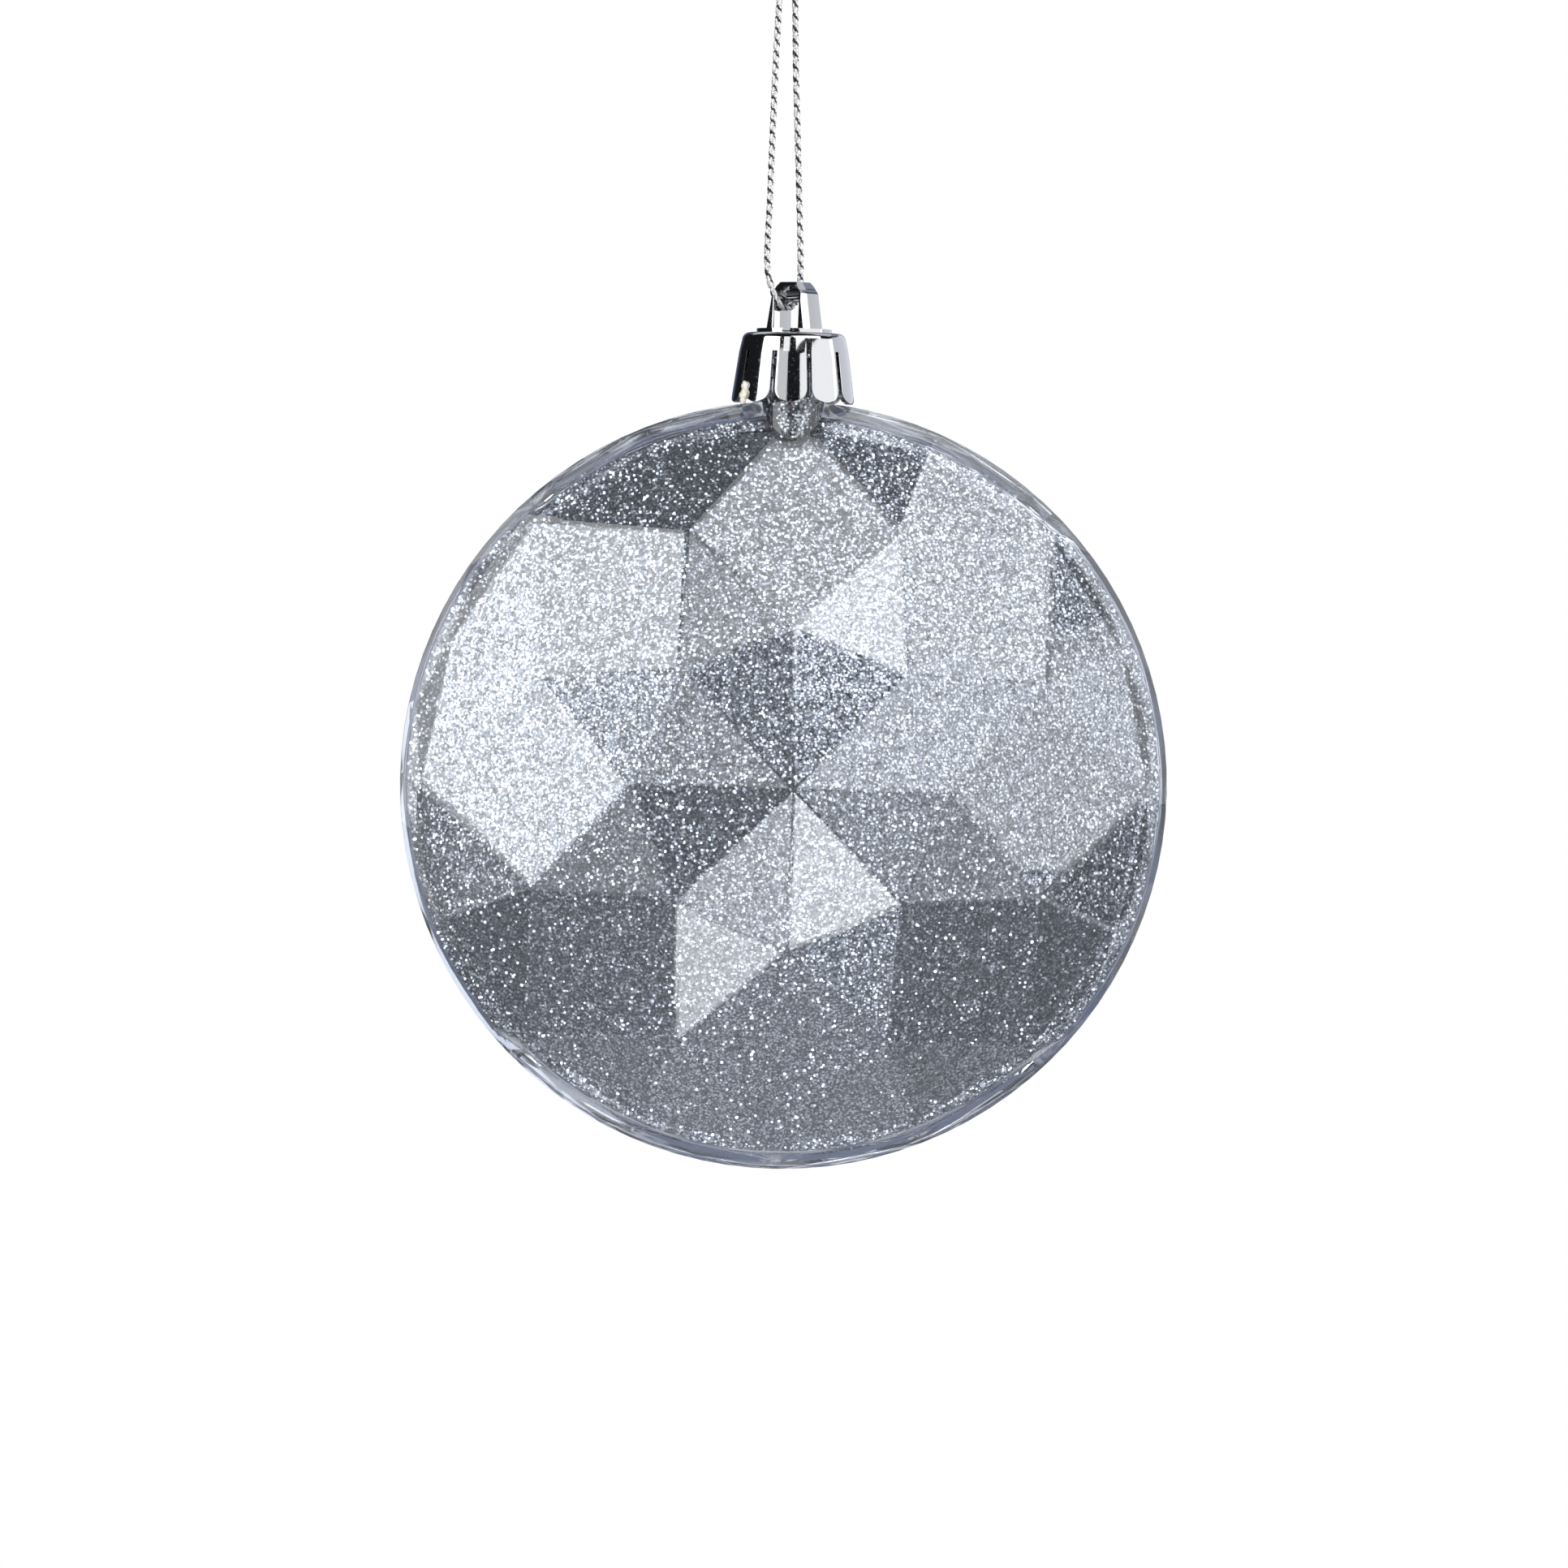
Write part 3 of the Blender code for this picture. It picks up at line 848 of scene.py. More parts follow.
# The cord's route as (across, height) in millimetres: across runs through the eye, towards the
# front-left, and height is from the hanging point.
CORD_ROUTE_MM: tuple[tuple[float, float], ...] = (
    # fmt: off
    (0.60, 1.2), (0.86, -1.2), (1.36, -4.4), (1.80, -7.6), (2.26, -13.0), (2.64, -18.4),
    (2.96, -23.8), (3.24, -29.2), (3.54, -34.6), (3.88, -39.0), (4.02, -41.6), (3.76, -43.7),
    (3.06, -45.4), (2.24, -46.60), (1.36, -47.41), (0.46, -47.80), (-0.46, -47.80),
    (-1.36, -47.41), (-2.10, -46.62), (-2.48, -45.5), (-2.66, -43.8), (-2.66, -41.0),
    (-2.50, -36.5), (-2.26, -31.0), (-1.92, -24.6), (-1.62, -18.4), (-1.44, -13.0), (-1.30, -7.6),
    (-1.04, -3.6), (-0.76, -0.6), (-0.60, 1.2),
    # fmt: on
)


def smooth_route(points: Sequence[Vector], step: float) -> list[Vector]:
    """Reads evenly spaced points from a smooth curve through the given ones.

    Args:
        points: The points to pass through.
        step: About how far apart the new points are.

    Returns:
        The new points, both ends included.
    """
    ends = [2 * points[0] - points[1], *points, 2 * points[-1] - points[-2]]
    fine: list[Vector] = []
    for a, b, c, d in zip(ends, ends[1:], ends[2:], ends[3:]):
        for i in range(24):
            t = i / 24
            bend = (2 * a - 5 * b + 4 * c - d) * t**2 + (3 * b - a - 3 * c + d) * t**3
            fine.append(0.5 * (2 * b + (c - a) * t + bend))
    fine.append(points[-1])
    total = sum((b - a).length for a, b in zip(fine, fine[1:]))
    count = max(2, round(total / step))
    spaced, gone = [fine[0]], 0.0
    for a, b in zip(fine, fine[1:]):
        length = (b - a).length
        while gone + length >= total / count * len(spaced) - 1e-12 and len(spaced) < count:
            spaced.append(a + (b - a) * ((total / count * len(spaced) - gone) / length))
        gone += length
    return [*spaced, fine[-1]]


def path_length(points: Sequence[Vector]) -> float:
    """The length along a row of points, in metres."""
    return sum((b - a).length for a, b in zip(points, points[1:]))


@dataclass
class TwistedCord:
    """The loop of metallic cord: two plies twisted together, wound with thin bright film."""

    diameter: float = 0.85 * MM
    ply_offset: float = 0.2 * MM
    ply_radius: float = 0.225 * MM
    lay: float = 3.1 * MM
    film_offset: float = 0.365 * MM
    film_radius: float = 0.055 * MM
    film_lay: float = 1.3 * MM
    step: float = 0.13 * MM
    eye_turn: float = 44.0
    offset: float = 1.4 * MM
    drop: float = 45.4 * MM
    trees: dict[str, NodesBuilder] = field(default_factory=dict)

    def directions(self) -> tuple[Vector, Vector]:
        """Unit vectors through the eye and along its bar."""
        turn = math.radians(self.eye_turn)
        through = Vector((-math.sin(turn), -math.cos(turn), 0.0))
        return through, Vector((math.cos(turn), -math.sin(turn), 0.0))

    def place(self, across: float, height: float) -> Vector:
        """Turns a route point into a point of the frame.

        Args:
            across: Distance through the eye, in metres.
            height: Height from the hanging point, in metres.

        Returns:
            The point.
        """
        through, along = self.directions()
        low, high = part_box("hanger_eye")
        at_eye = Vector(((low.x + high.x) / 2, 0.0, 0.0)) - self.offset * along
        share = max(0.0, min(1.0, -height / self.drop))
        return share * at_eye + across * through + Vector((0.0, 0.0, height))

    def twist_tree(self) -> NodesBuilder:
        """Builds the nodes that lay strands round a path.

        Returns:
            The tree's builder.
        """
        made = NodesBuilder("lay_strands")
        made.inputs(Offset=0.0002, Radius=0.0002, Lay=0.003, Step=0.0002)
        path = made.node("GeometryNodeMeshToCurve", Mesh=made.value("Geometry"))
        even = made.node("GeometryNodeResampleCurve", Curve=path.outputs[0])
        even.mode = "LENGTH"
        connect(made.tree, made.value("Step"), even.inputs["Length"])
        along = made.node("GeometryNodeSplineParameter").outputs["Length"]
        tangent = made.node("GeometryNodeInputTangent").outputs[0]
        normal = made.node("GeometryNodeInputNormal").outputs[0]
        side = vector_node(made.tree, "CROSS_PRODUCT", tangent, normal)
        turns = math_node(made.tree, "DIVIDE", along, made.value("Lay"))
        join = made.node("GeometryNodeJoinGeometry")
        for strand in range(PLIES):
            start = math.tau * strand / PLIES
            angle = math_node(made.tree, "MULTIPLY_ADD", turns, math.tau, start)
            out = vector_node(
                made.tree,
                "ADD",
                vector_node(made.tree, "SCALE", normal, math_node(made.tree, "COSINE", angle)),
                vector_node(made.tree, "SCALE", side, math_node(made.tree, "SINE", angle)),
            )
            shift = vector_node(made.tree, "SCALE", out, made.value("Offset"))
            moved = made.node("GeometryNodeSetPosition", Geometry=even.outputs[0], Offset=shift)
            ring = made.node(
                "GeometryNodeCurvePrimitiveCircle",
                Resolution=STRAND_SIDES,
                Radius=made.value("Radius"),
            )
            tube = made.node(
                "GeometryNodeCurveToMesh",
                Curve=moved.outputs[0],
                Profile_Curve=ring.outputs[0],
                Fill_Caps=True,
            )
            smooth = made.node("GeometryNodeSetShadeSmooth", Geometry=tube.outputs[0])
            connect(made.tree, smooth.outputs[0], join.inputs[0])
        made.finish(join.outputs[0])
        return made

    def lay_strands(self, name: str, route: Sequence[Vector], material: Material) -> Object:
        """Makes a length of cord along a route.

        Args:
            name: The piece's name.
            route: Its centreline.
            material: The yarn's finish.

        Returns:
            The piece, as plain mesh.
        """
        if "lay" not in self.trees:
            self.trees["lay"] = self.twist_tree()
        parts = []
        for part, offset, radius, lay in (
            ("plies", self.ply_offset, self.ply_radius, self.lay),
            ("film", self.film_offset, self.film_radius, self.film_lay),
        ):
            mesh = bpy.data.meshes.new(f"{name}_{part}")
            links = [(i, i + 1) for i in range(len(route) - 1)]
            mesh.from_pydata([tuple(p) for p in route], links, [])
            made = link(mesh.name, mesh)
            self.trees["lay"].run(
                made, material, Offset=offset, Radius=radius, Lay=lay, Step=self.step
            )
            parts.append(made)
        return join_pieces(name, parts)

    def build_loop(self, material: Material) -> tuple[Object, list[Vector]]:
        """Makes the loop.

        Args:
            material: The yarn's finish.

        Returns:
            The loop and its centreline.
        """
        route = smooth_route(
            [self.place(across * MM, height * MM) for across, height in CORD_ROUTE_MM], 0.5 * MM
        )
        return self.lay_strands("metallic_cord_loop", route, material), route

    def knot_route(self, phase: float) -> list[Vector]:
        """Lays one strand through the knot and out as a tail.

        Args:
            phase: The strand's turn about the knot's axis, in degrees.

        Returns:
            Its centreline.
        """
        spiral = [(1.28, 60 + 40 * i, 4.5 - 2.1 * i / 9) for i in range(10)]
        # Radius in millimetres, turn in degrees, height in millimetres.
        rows = [
            (0.6, 0, 1.25),
            (0.5, 0, 2.4),
            (0.5, 0, 3.9),
            (0.85, 22, 4.75),
            *spiral,
            (0.95, 438, 2.0),
            (0.55, 450, 2.3),
            (0.5, 450, 3.4),
            (0.55, 450, 4.7),
            (0.9, 446, 6.3),
            (1.35, 443, 8.2),
            (1.6, 440, 9.55),
        ]
        through, along = self.directions()
        points = []
        for radius, degrees, height in rows:
            turn = math.radians(degrees + phase)
            spoke = math.cos(turn) * through + math.sin(turn) * along
            points.append(radius * MM * spoke + Vector((0.0, 0.0, height * MM)))
        return smooth_route(points, 0.3 * MM)

    def build_knot(self, material: Material) -> Object:
        """Makes the overhand knot of both strands, with its cut tails.

        Args:
            material: The yarn's finish.

        Returns:
            The knot.
        """
        strands = [
            self.lay_strands(f"strand_{index}", self.knot_route(phase), material)
            for index, phase in enumerate((0.0, 180.0))
        ]
        return join_pieces("overhand_knot", strands)

    def build(self, material: Material) -> None:
        """Args:
            material: The yarn's finish.
        """
        knot = self.build_knot(material)
        dress(knot, material, "cord")
        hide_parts("cord_knot")
        loop, route = self.build_loop(material)
        dress(loop, material, "cord")
        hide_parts("cord_loop")
        LOG.info("cord length %.1f mm", path_length(route) / MM)


def join_pieces(name: str, parts: Sequence[Object]) -> Object:
    """Joins meshes into one piece.

    Args:
        name: The piece's name.
        parts: The meshes, which are removed.

    Returns:
        The joined piece.
    """
    grid = bmesh.new()
    for part in parts:
        grid.from_mesh(part.data)
        bpy.data.objects.remove(part)
    made = from_grid(name, grid)
    made.data.shade_smooth()
    return made


# Eye and cap


@dataclass
class HangerEye:
    """The chromed eye: a flat-topped arch on a thin flange, with every edge rounded."""

    edge: float = 0.45 * MM

    def build(self, material: Material) -> None:
        """Makes the eye.

        Args:
            material: The chrome.
        """
        eye, grid = merged_copy("hanger_eye", "chromed_eye")
        write_back(eye, grid)
        bevel(eye, self.edge, 4, 28.0)
        settle(eye)
        shade(eye, 80.0)
        dress(eye, material, "eye")
        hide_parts("hanger_eye")


@dataclass
class SlottedCap:
    """The chromed cap, with its skirt cut into spring fingers.

    Its roof is raised until it almost touches the eye's flange.
    """

    lift: float = 0.27 * MM
    top_radius: float = 6.75 * MM
    bottom_radius: float = 8.05 * MM
    shoulder: float = 0.95 * MM
    wall: float = 0.8 * MM
    roof: float = 0.9 * MM
    hole: float = 1.9 * MM
    fingers: int = 10
    first_slot: float = 12.5
    slot_width: float = 0.68 * MM
    slot_top: float = 2.45 * MM
    corner: float = 1.8 * MM
    inner_corner: float = 0.4 * MM
    crown_rings: tuple[float, ...] = (3.4 * MM, 4.9 * MM)
    roof_rings: tuple[float, ...] = (3.4 * MM, 4.6 * MM)
    skirt_rows: tuple[float, ...] = (3.6 * MM, 4.6 * MM, 5.6 * MM, 6.4 * MM)
    shoulder_sweep: float = 82.0
    edge: float = 0.1 * MM
    columns: int = 14
    shoulder_rows: int = 8
    corner_rows: int = 10

    def __post_init__(self) -> None:
        """Finds the cap's place in the frame."""
        low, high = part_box("cap")
        top = high.z + self.lift
        self.height = top - low.z
        self.centre = Vector(((low.x + high.x) / 2, 0.0, top))

    def outer_radius(self, depth: float) -> float:
        """The skirt's outside radius at a depth below the top."""
        share = depth / self.height
        return self.top_radius + share * (self.bottom_radius - self.top_radius)

    def rows(self) -> tuple[list[tuple[float, float]], list[tuple[float, float]]]:
        """Lists the outside and inside profiles from the top down.

        Returns:
            Two lists of (radius, depth) of one length.
        """
        crown = [(radius, 0.0) for radius in (self.hole, *self.crown_rings)]
        under = [(radius, self.roof) for radius in (self.hole, *self.roof_rings)]
        middle = self.top_radius - self.shoulder
        inside_top = self.top_radius - self.wall
        for i in range(self.shoulder_rows):
            angle = math.radians(90 - self.shoulder_sweep * i / (self.shoulder_rows - 1))
            out, down = math.cos(angle), 1 - math.sin(angle)
            crown.append((middle + self.shoulder * out, self.shoulder * down))
            under.append(
                (inside_top - self.inner_corner * (1 - out), self.roof + self.inner_corner * down)
            )
        depths = [self.slot_top, self.slot_top + 0.5 * MM, *self.skirt_rows]
        last = self.corner_rows - 1
        for i in range(self.corner_rows):
            lift = math.sin(math.radians(90 * (last - i) / last)) if i else 1.0
            depths.append(self.height - self.corner * lift)
        for depth in depths:
            crown.append((self.outer_radius(depth), depth))
            under.append((self.outer_radius(depth) - self.wall, depth))
        return crown, under

    def half_slot(self, depth: float) -> float:
        """Half the gap between two fingers, which widens round the fingers' corners."""
        left = self.height - depth
        if left >= self.corner:
            return self.slot_width / 2
        drop = self.corner - left
        return self.slot_width / 2 + self.corner - math.sqrt(max(0.0, self.corner**2 - drop**2))

    def column_turns(self, depth: float, radius: float) -> list[float]:
        """Lists the turns of every column of points at a depth, finger by finger."""
        pitch = math.tau / self.fingers
        half = self.half_slot(max(depth, self.slot_top)) / max(radius, 4.0 * MM)
        turns: list[float] = []
        for finger in range(self.fingers):
            start = math.radians(self.first_slot) + pitch * finger + half
            end = math.radians(self.first_slot) + pitch * (finger + 1) - half
            turns += [start + (end - start) * i / self.columns for i in range(self.columns + 1)]
        return turns

    def mesh(self) -> Object:
        """Makes the cap's shape as one closed skin.

        Returns:
            The piece.
        """
        outside, inside = self.rows()
        points: list[Vector] = []
        for profile in (outside, inside):
            for radius, depth in profile:
                for turn in self.column_turns(depth, radius):
                    points.append(around_axis(self.centre, turn, radius, -depth))
        per_finger, around = self.columns + 1, (self.columns + 1) * self.fingers
        slot_row, last = 1 + len(self.crown_rings) + self.shoulder_rows, len(outside) - 1
        inner = around * len(outside)
        faces: list[list[int]] = []

        def cell(row: int, column: int, base: int) -> list[int]:
            """The four corners of one cell of a skin."""
            after = (column + 1) % around
            top, under = base + row * around, base + (row + 1) * around
            return [top + column, under + column, under + after, top + after]

        for column in range(around):
            in_finger = (column + 1) % per_finger != 0
            for row in range(last):
                if in_finger or row < slot_row:
                    faces.append(cell(row, column, 0))
                    faces.append(cell(row, column, inner))
            after = (column + 1) % around
            faces.append([column, after, inner + after, inner + column])
            closing = last if in_finger else slot_row
            low = closing * around
            faces.append([low + column, low + after, inner + low + after, inner + low + column])
        for row in range(slot_row, last):
            top, under = row * around, (row + 1) * around
            for finger in range(self.fingers):
                for column in (finger * per_finger, finger * per_finger + self.columns):
                    side = [top + column, under + column]
                    faces.append([*side, inner + side[1], inner + side[0]])
        return mesh_piece("chromed_cap", points, faces)

    def build_scar(self, material: Material) -> None:
        """Makes the broken gate: three small lobes of bare plastic at one finger's corner.

        Args:
            material: The bare plastic.
        """
        grid = bmesh.new()
        turn = math.radians(self.first_slot - 2 * 360.0 / self.fingers + 4.0)
        for lift, size, bulge in ((0.9, 0.62, 0.1), (2.0, 0.5, -0.05), (0.1, 0.42, 0.25)):
            made = bmesh.ops.create_icosphere(grid, subdivisions=3, radius=size * MM)
            radius = self.bottom_radius - 0.15 * MM + bulge * MM
            spot = around_axis(self.centre, turn, radius, lift * MM - self.height)
            for point in made["verts"]:
                rough = math.sin(point.co.x * 9000) * math.cos(point.co.z * 7000 + size)
                point.co *= 1.0 + 0.16 * rough
                point.co.z *= 1.25
                point.co += spot
        scar = from_grid("gate_scar", grid)
        remesh = scar.modifiers.new("one_skin", "REMESH")
        remesh.mode = "VOXEL"
        remesh.voxel_size = 0.09 * MM
        remesh.use_smooth_shade = True
        settle(scar)
        dress(scar, material, "cap")

    def build(self, chrome: Material, bare: Material) -> None:
        """Makes the cap and its gate scar.

        Args:
            chrome: The cap's finish.
            bare: The scar's finish.
        """
        cap = self.mesh()
        bevel(cap, self.edge, 2, 45.0)
        settle(cap)
        shade(cap, 60.0)
        weight_normals(cap)
        settle(cap)
        dress(cap, chrome, "cap")
        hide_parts("cap")
        self.build_scar(bare)


# Ball


@dataclass
class FacetedBall:
    """The two clear halves, their glitter lining and the loose flakes that lie on it."""

    edge: float = 0.7 * MM
    lining_edge: float = 0.5 * MM
    least_facet: float = 18e-6
    flake_radius: float = 0.2 * MM
    flakes_per_area: float = 1.9e6
    flake_lift: float = 0.06 * MM
    least_outward: float = 0.5
    bore_radius: float = 2.56 * MM
    bore_lining: float = 0.4 * MM
    bore_ragged: float = 0.35 * MM
    trees: dict[str, NodesBuilder] = field(default_factory=dict)

    def soften(self, node: str, name: str, edge: float) -> Object:
        """Copies a faceted node with a narrow rounded line along every facet's edge.

        Args:
            node: The node to copy.
            name: The new piece's name.
            edge: The line's width.

        Returns:
            The piece.
        """
        made, grid = merged_copy(node, name)
        facets = [face for face in grid.faces if face.calc_area() > self.least_facet]
        bmesh.ops.inset_individual(grid, faces=facets, thickness=edge, use_even_offset=False)
        write_back(made, grid)
        shade(made, 24.0)
        weight_normals(made)
        return settle(made)

    def flake_tree(self) -> NodesBuilder:
        """Builds the nodes that strew hexagonal flakes over a surface.

        Returns:
            The tree's builder.
        """
        made = NodesBuilder("strew_flakes")
        made.inputs(Density=1.0e6, Radius=0.0002, Lean=0.3, Seed=1)
        strewn = made.node(
            "GeometryNodeDistributePointsOnFaces",
            Mesh=made.value("Geometry"),
            Density=made.value("Density"),
            Seed=made.value("Seed"),
        )
        flake = made.node("GeometryNodeMeshCircle", Vertices=6, Radius=made.value("Radius"))
        flake.fill_type = "NGON"
        lean = made.node("FunctionNodeRandomValue")
        lean.data_type = "FLOAT_VECTOR"
        back = math_node(made.tree, "MULTIPLY", made.value("Lean"), -1.0)
        for end, amount, spin in (("Min", back, 0.0), ("Max", made.value("Lean"), 3.1)):
            turn = made.node("ShaderNodeCombineXYZ", X=amount, Y=amount, Z=spin)
            connect(made.tree, turn.outputs[0], lean.inputs[end])
        turned_flake = made.node(
            "FunctionNodeRotateRotation",
            Rotation=strewn.outputs["Rotation"],
            Rotate_By=lean.outputs["Value"],
        )
        turned_flake.rotation_space = "LOCAL"
        size = made.node("FunctionNodeRandomValue", in_2=0.7, in_3=1.15)
        size.data_type = "FLOAT"
        placed = made.node(
            "GeometryNodeInstanceOnPoints",
            Points=strewn.outputs["Points"],
            Instance=flake.outputs[0],
            Rotation=turned_flake.outputs[0],
            Scale=size.outputs[1],
        )
        made.finish(placed.outputs[0])
        return made

    def strew(self, half: Half, lining: Object, material: Material) -> None:
        """Strews loose flakes over the outside of one lining.

        Args:
            half: Which half.
            lining: The lining that they lie on.
            material: The flakes' finish.
        """
        if "flakes" not in self.trees:
            self.trees["flakes"] = self.flake_tree()
        grid = bmesh.new()
        grid.from_mesh(lining.data)
        away = -half.value
        hidden = [face for face in grid.faces if face.normal.y * away < self.least_outward]
        bmesh.ops.delete(grid, geom=hidden, context="FACES")
        for point in grid.verts:
            point.co.y += away * self.flake_lift
        flakes = from_grid(half.label + "_loose_flakes", grid)
        self.trees["flakes"].run(
            flakes,
            material,
            Density=self.flakes_per_area,
            Radius=self.flake_radius,
            Lean=0.3,
            Seed=11 if half is Half.FRONT else 12,
        )
        dress(flakes, material, "ball")

    def build_bore_lining(self, material: Material) -> None:
        """Makes the glitter that reaches up into the neck.

        Args:
            material: The glitter's finish.
        """
        low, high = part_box("front_shell")
        centre = Vector(((low.x + high.x) / 2, 0.0, high.z))
        outer, inner = self.bore_radius, self.bore_radius - self.bore_lining
        bottom = -10.6 * MM
        profile = [(outer, -5.2 * MM), (outer, bottom), (inner, bottom), (inner, -5.4 * MM)]
        points, faces = turned(profile, 48, centre)
        for index, point in enumerate(points):
            turn, corner = divmod(index, len(profile))
            if corner in (0, len(profile) - 1):
                point.z += self.bore_ragged * math.sin(turn * 0.9) * math.sin(turn * 0.37 + 1.0)
        lining = mesh_piece("bore_glitter", points, faces)
        shade(lining, 40.0)
        dress(lining, material, "ball")

    def build(self, clear: Material, glitter: Material, flake: Material) -> None:
        """Makes both halves.

        Args:
            clear: The shells' finish.
            glitter: The lining's finish.
            flake: The loose flakes' finish.
        """
        for half in Half:
            lining = self.soften(
                half.label + "_glitter_coat", half.label + "_lining", self.lining_edge
            )
            dress(lining, glitter, "ball")
            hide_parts(half.label + "_glitter_coat")
            self.strew(half, lining, flake)
            shell = self.soften(half.label + "_shell", half.label + "_clear_half", self.edge)
            dress(shell, clear, "ball")
            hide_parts(half.label + "_shell")
        self.build_bore_lining(glitter)


# Studio


@dataclass(frozen=True)
class SoftPanel:
    """One soft light, placed by its direction from the ball.

    Turn is clockwise round the line from the ball to the camera, from straight up, and tilt is
    the angle away from that line.
    """

    name: str
    turn: float
    tilt: float
    width: float
    height: float
    power: float
    distance: float = 0.7
    color: Rgb = (1.0, 1.0, 1.0)


@dataclass
class Studio:
    """Camera, soft panels, backdrop and pale floor round the hanging ball."""

    azimuth: float = -3.5
    elevation: float = 1.5
    roll: float = 1.3
    distance: float = 1.0
    sensor: float = 36.0
    view_width: float = 0.20444
    above_centre: float = 0.00016
    floor_z: float = -0.8
    floor_width: float = 6.0
    floor_color: Rgb = (0.95, 0.955, 0.96)
    panels: tuple[SoftPanel, ...] = (
        SoftPanel("left_box", 289.5, 55.6, 0.44, 0.62, 2.74),
        SoftPanel("left_front_box", 303.4, 28.1, 0.28, 0.3, 0.263),
        SoftPanel("right_wall", 75.2, 56.1, 1.16, 0.4, 2.27),
        SoftPanel("upper_right_wall", 29.2, 54.1, 0.7, 0.36, 1.63),
        SoftPanel("upper_right_box", 21.6, 41.5, 0.22, 0.2, 0.246),
        SoftPanel("right_low_wall", 108, 51.4, 0.6, 0.24, 0.312),
        SoftPanel("low_right_box", 151.5, 35.9, 0.26, 0.22, 0.672),
        SoftPanel("low_left_box", 189.9, 31.5, 0.22, 0.2, 0.258),
        SoftPanel("low_front_box", 198.3, 45.9, 0.14, 0.14, 0.191),
        SoftPanel("upper_left_box", 337.5, 37, 0.15, 0.18, 0.136),
        SoftPanel("left_low_front_box", 247.5, 36, 0.15, 0.15, 0.0566),
        SoftPanel("left_low_box", 249.5, 51.8, 0.3, 0.2, 0.129),
        SoftPanel("brown_stand", 227.6, 5.4, 0.05, 0.5, 0.0333, color=(0.62, 0.36, 0.27)),
        SoftPanel("right_back_wall", 72.4, 126.7, 1.1, 0.5, 1.47),
        SoftPanel("back_top_box", 0, 118, 0.9, 0.6, 0.437),
        SoftPanel("back_left_box", 338.7, 122.2, 0.5, 0.3, 0.26),
        SoftPanel("back_right_box", 26.2, 109, 0.5, 0.3, 0.24),
        SoftPanel("back_low_box", 162.9, 144.2, 0.6, 0.3, 0.13),
    )
    sky: Rgb = (0.015, 0.0165, 0.019)
    backdrop: Rgb = (0.12, 0.142, 0.215)
    backdrop_turn: float = -25.0

    def __post_init__(self) -> None:
        """Finds the ball's middle in the frame."""
        low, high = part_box("front_shell")
        radius = (high.x - low.x) / 2
        self.middle = Vector(((low.x + high.x) / 2, 0.0, low.z + radius))

    def view_back(self) -> Vector:
        """The unit vector from the ball towards the camera."""
        a, e = math.radians(self.azimuth), math.radians(self.elevation)
        return Vector((math.sin(a) * math.cos(e), -math.cos(a) * math.cos(e), math.sin(e)))

    def view_axes(self) -> tuple[Vector, Vector, Vector]:
        """The unit vectors to the view's right, up the view, and towards the camera."""
        back = self.view_back()
        right = Vector((0.0, 0.0, 1.0)).cross(back).normalized()
        return right, back.cross(right), back

    def build_camera(self) -> None:
        """Makes the camera, with a long lens, and makes it the scene's own."""
        data = bpy.data.cameras.new("view_camera")
        data.sensor_width = self.sensor
        data.lens = self.sensor * self.distance / self.view_width
        data.clip_start = 0.05
        data.clip_end = 20.0
        camera = bpy.data.objects.new("view_camera", data)
        right, up, back = self.view_axes()
        aim = self.middle + self.above_centre * up
        turn = Matrix((right, up, back)).transposed().to_4x4()
        roll = Matrix.Rotation(math.radians(self.roll), 4, "Z")
        camera.matrix_world = Matrix.Translation(aim + self.distance * back) @ turn @ roll
        bpy.context.scene.collection.objects.link(camera)
        bpy.context.scene.camera = camera

    def build_panel(self, panel: SoftPanel) -> None:
        """Makes one soft light that faces the ball.

        Args:
            panel: Its place, size and strength.
        """
        right, up, back = self.view_axes()
        turn, tilt = math.radians(panel.turn), math.radians(panel.tilt)
        side = math.sin(turn) * right + math.cos(turn) * up
        way = math.cos(tilt) * back + math.sin(tilt) * side
        data = bpy.data.lights.new(panel.name, "AREA")
        data.shape = "RECTANGLE"
        data.size = panel.width
        data.size_y = panel.height
        data.energy = panel.power
        data.color = panel.color
        light = bpy.data.objects.new(panel.name, data)
        light.location = self.middle + panel.distance * way
        light.rotation_euler = way.to_track_quat("Z", "Y").to_euler()
        bpy.context.scene.collection.objects.link(light)

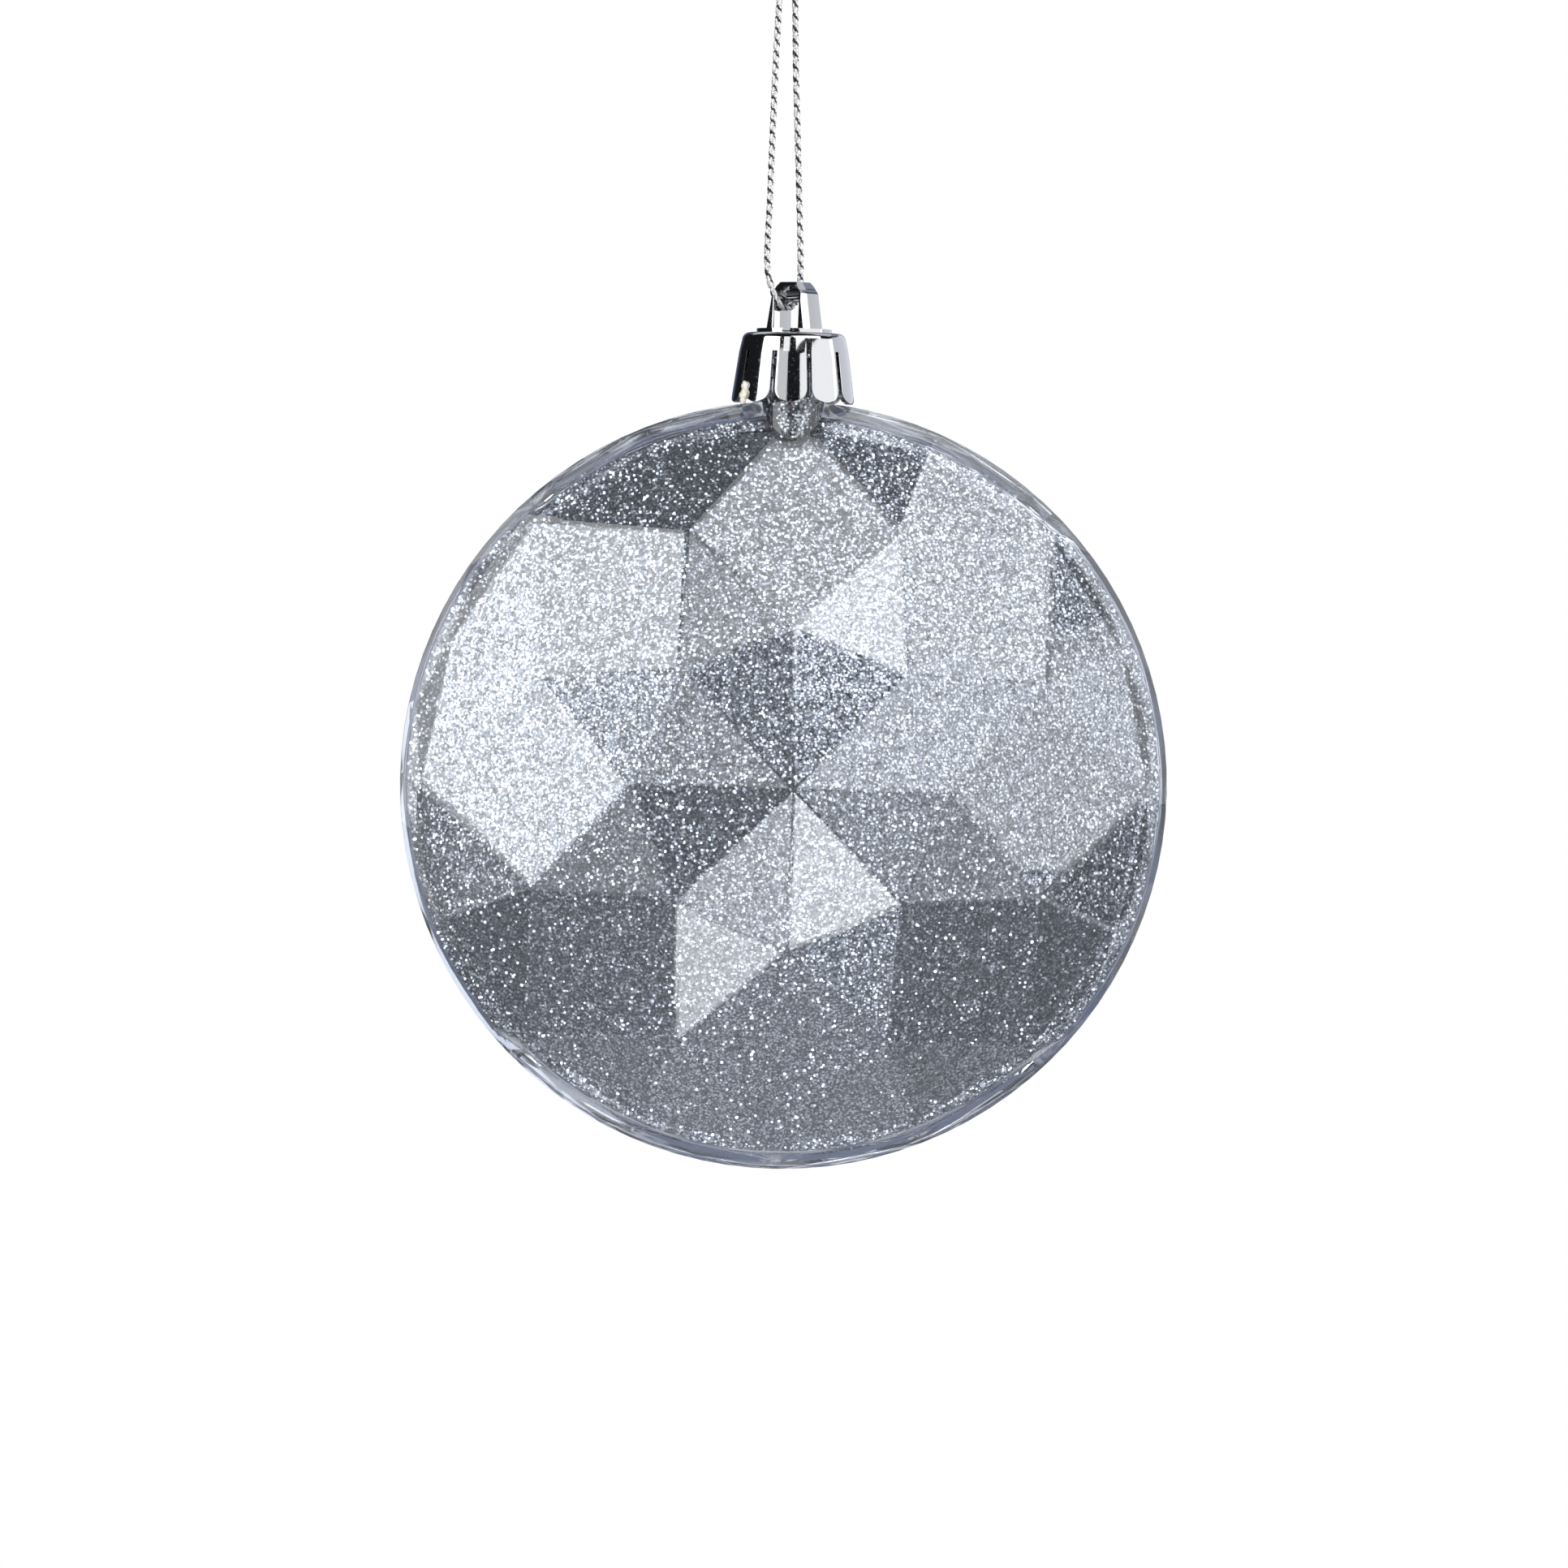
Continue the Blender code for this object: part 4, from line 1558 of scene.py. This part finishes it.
    def build_world(self) -> None:
        """Makes the room's pale light, which is plain white behind the ball."""
        world = bpy.data.worlds.new("pale_room")
        world.use_nodes = True
        tree = world.node_tree
        background = tree.nodes["Background"]
        way = new_node(tree, "ShaderNodeTexCoord").outputs["Generated"]
        aside = Matrix.Rotation(math.radians(self.backdrop_turn), 3, "Z")
        behind = vector_node(tree, "DOT_PRODUCT", way, tuple(aside @ -self.view_back()))
        share = ramp(tree, behind, 0.45, 0.75, 0.0, 1.0)
        room = mix_colors(tree, share, rgba(self.sky), rgba(self.backdrop))
        seen = new_node(tree, "ShaderNodeLightPath").outputs["Is Camera Ray"]
        color = mix_colors(tree, seen, room, rgba((1.0, 1.0, 1.0)))
        feed(tree, background, Color=color, Strength=1.0)
        bpy.context.scene.world = world

    def build_floor(self) -> None:
        """Makes the plain pale floor, below the camera's view."""
        half = self.floor_width / 2
        x, y = self.middle.x, self.middle.y
        corners = [(-half, -half), (half, -half), (half, half), (-half, half)]
        points = [Vector((x + dx, y + dy, self.floor_z)) for dx, dy in corners]
        floor = mesh_piece("pale_floor", points, [[0, 1, 2, 3]])
        material, tree, shader = new_material("pale_floor")
        pale = rgba(self.floor_color)
        seen = new_node(tree, "ShaderNodeLightPath").outputs["Is Camera Ray"]
        feed(tree, shader, Base_Color=pale, Roughness=0.9, Emission_Color=pale)
        feed(tree, shader, Emission_Strength=seen)
        floor.data.materials.append(material)

    def build(self) -> None:
        """Makes the camera, the lights and the floor."""
        self.build_camera()
        self.build_world()
        self.build_floor()
        for panel in self.panels:
            self.build_panel(panel)
        view = bpy.context.scene.view_settings
        view.view_transform = "Standard"
        view.look = "None"
        LOG.info("studio: %d soft panels", len(self.panels))


def main() -> None:
    """Builds the studio, the cord and every piece of the bauble in order."""
    logging.basicConfig(level=logging.INFO, format="%(name)s: %(message)s")
    effects = Effects()
    Studio().build()
    TwistedCord().build(MetallicYarn().build(effects))
    chrome = ChromePlate().build(effects)
    HangerEye().build(chrome)
    SlottedCap().build(chrome, BarePlastic().build(effects))
    FacetedBall().build(
        ClearPlastic().build(effects),
        GlitterLining().build(effects),
        LooseFlake().build(effects),
    )


if __name__ == "__main__":
    main()
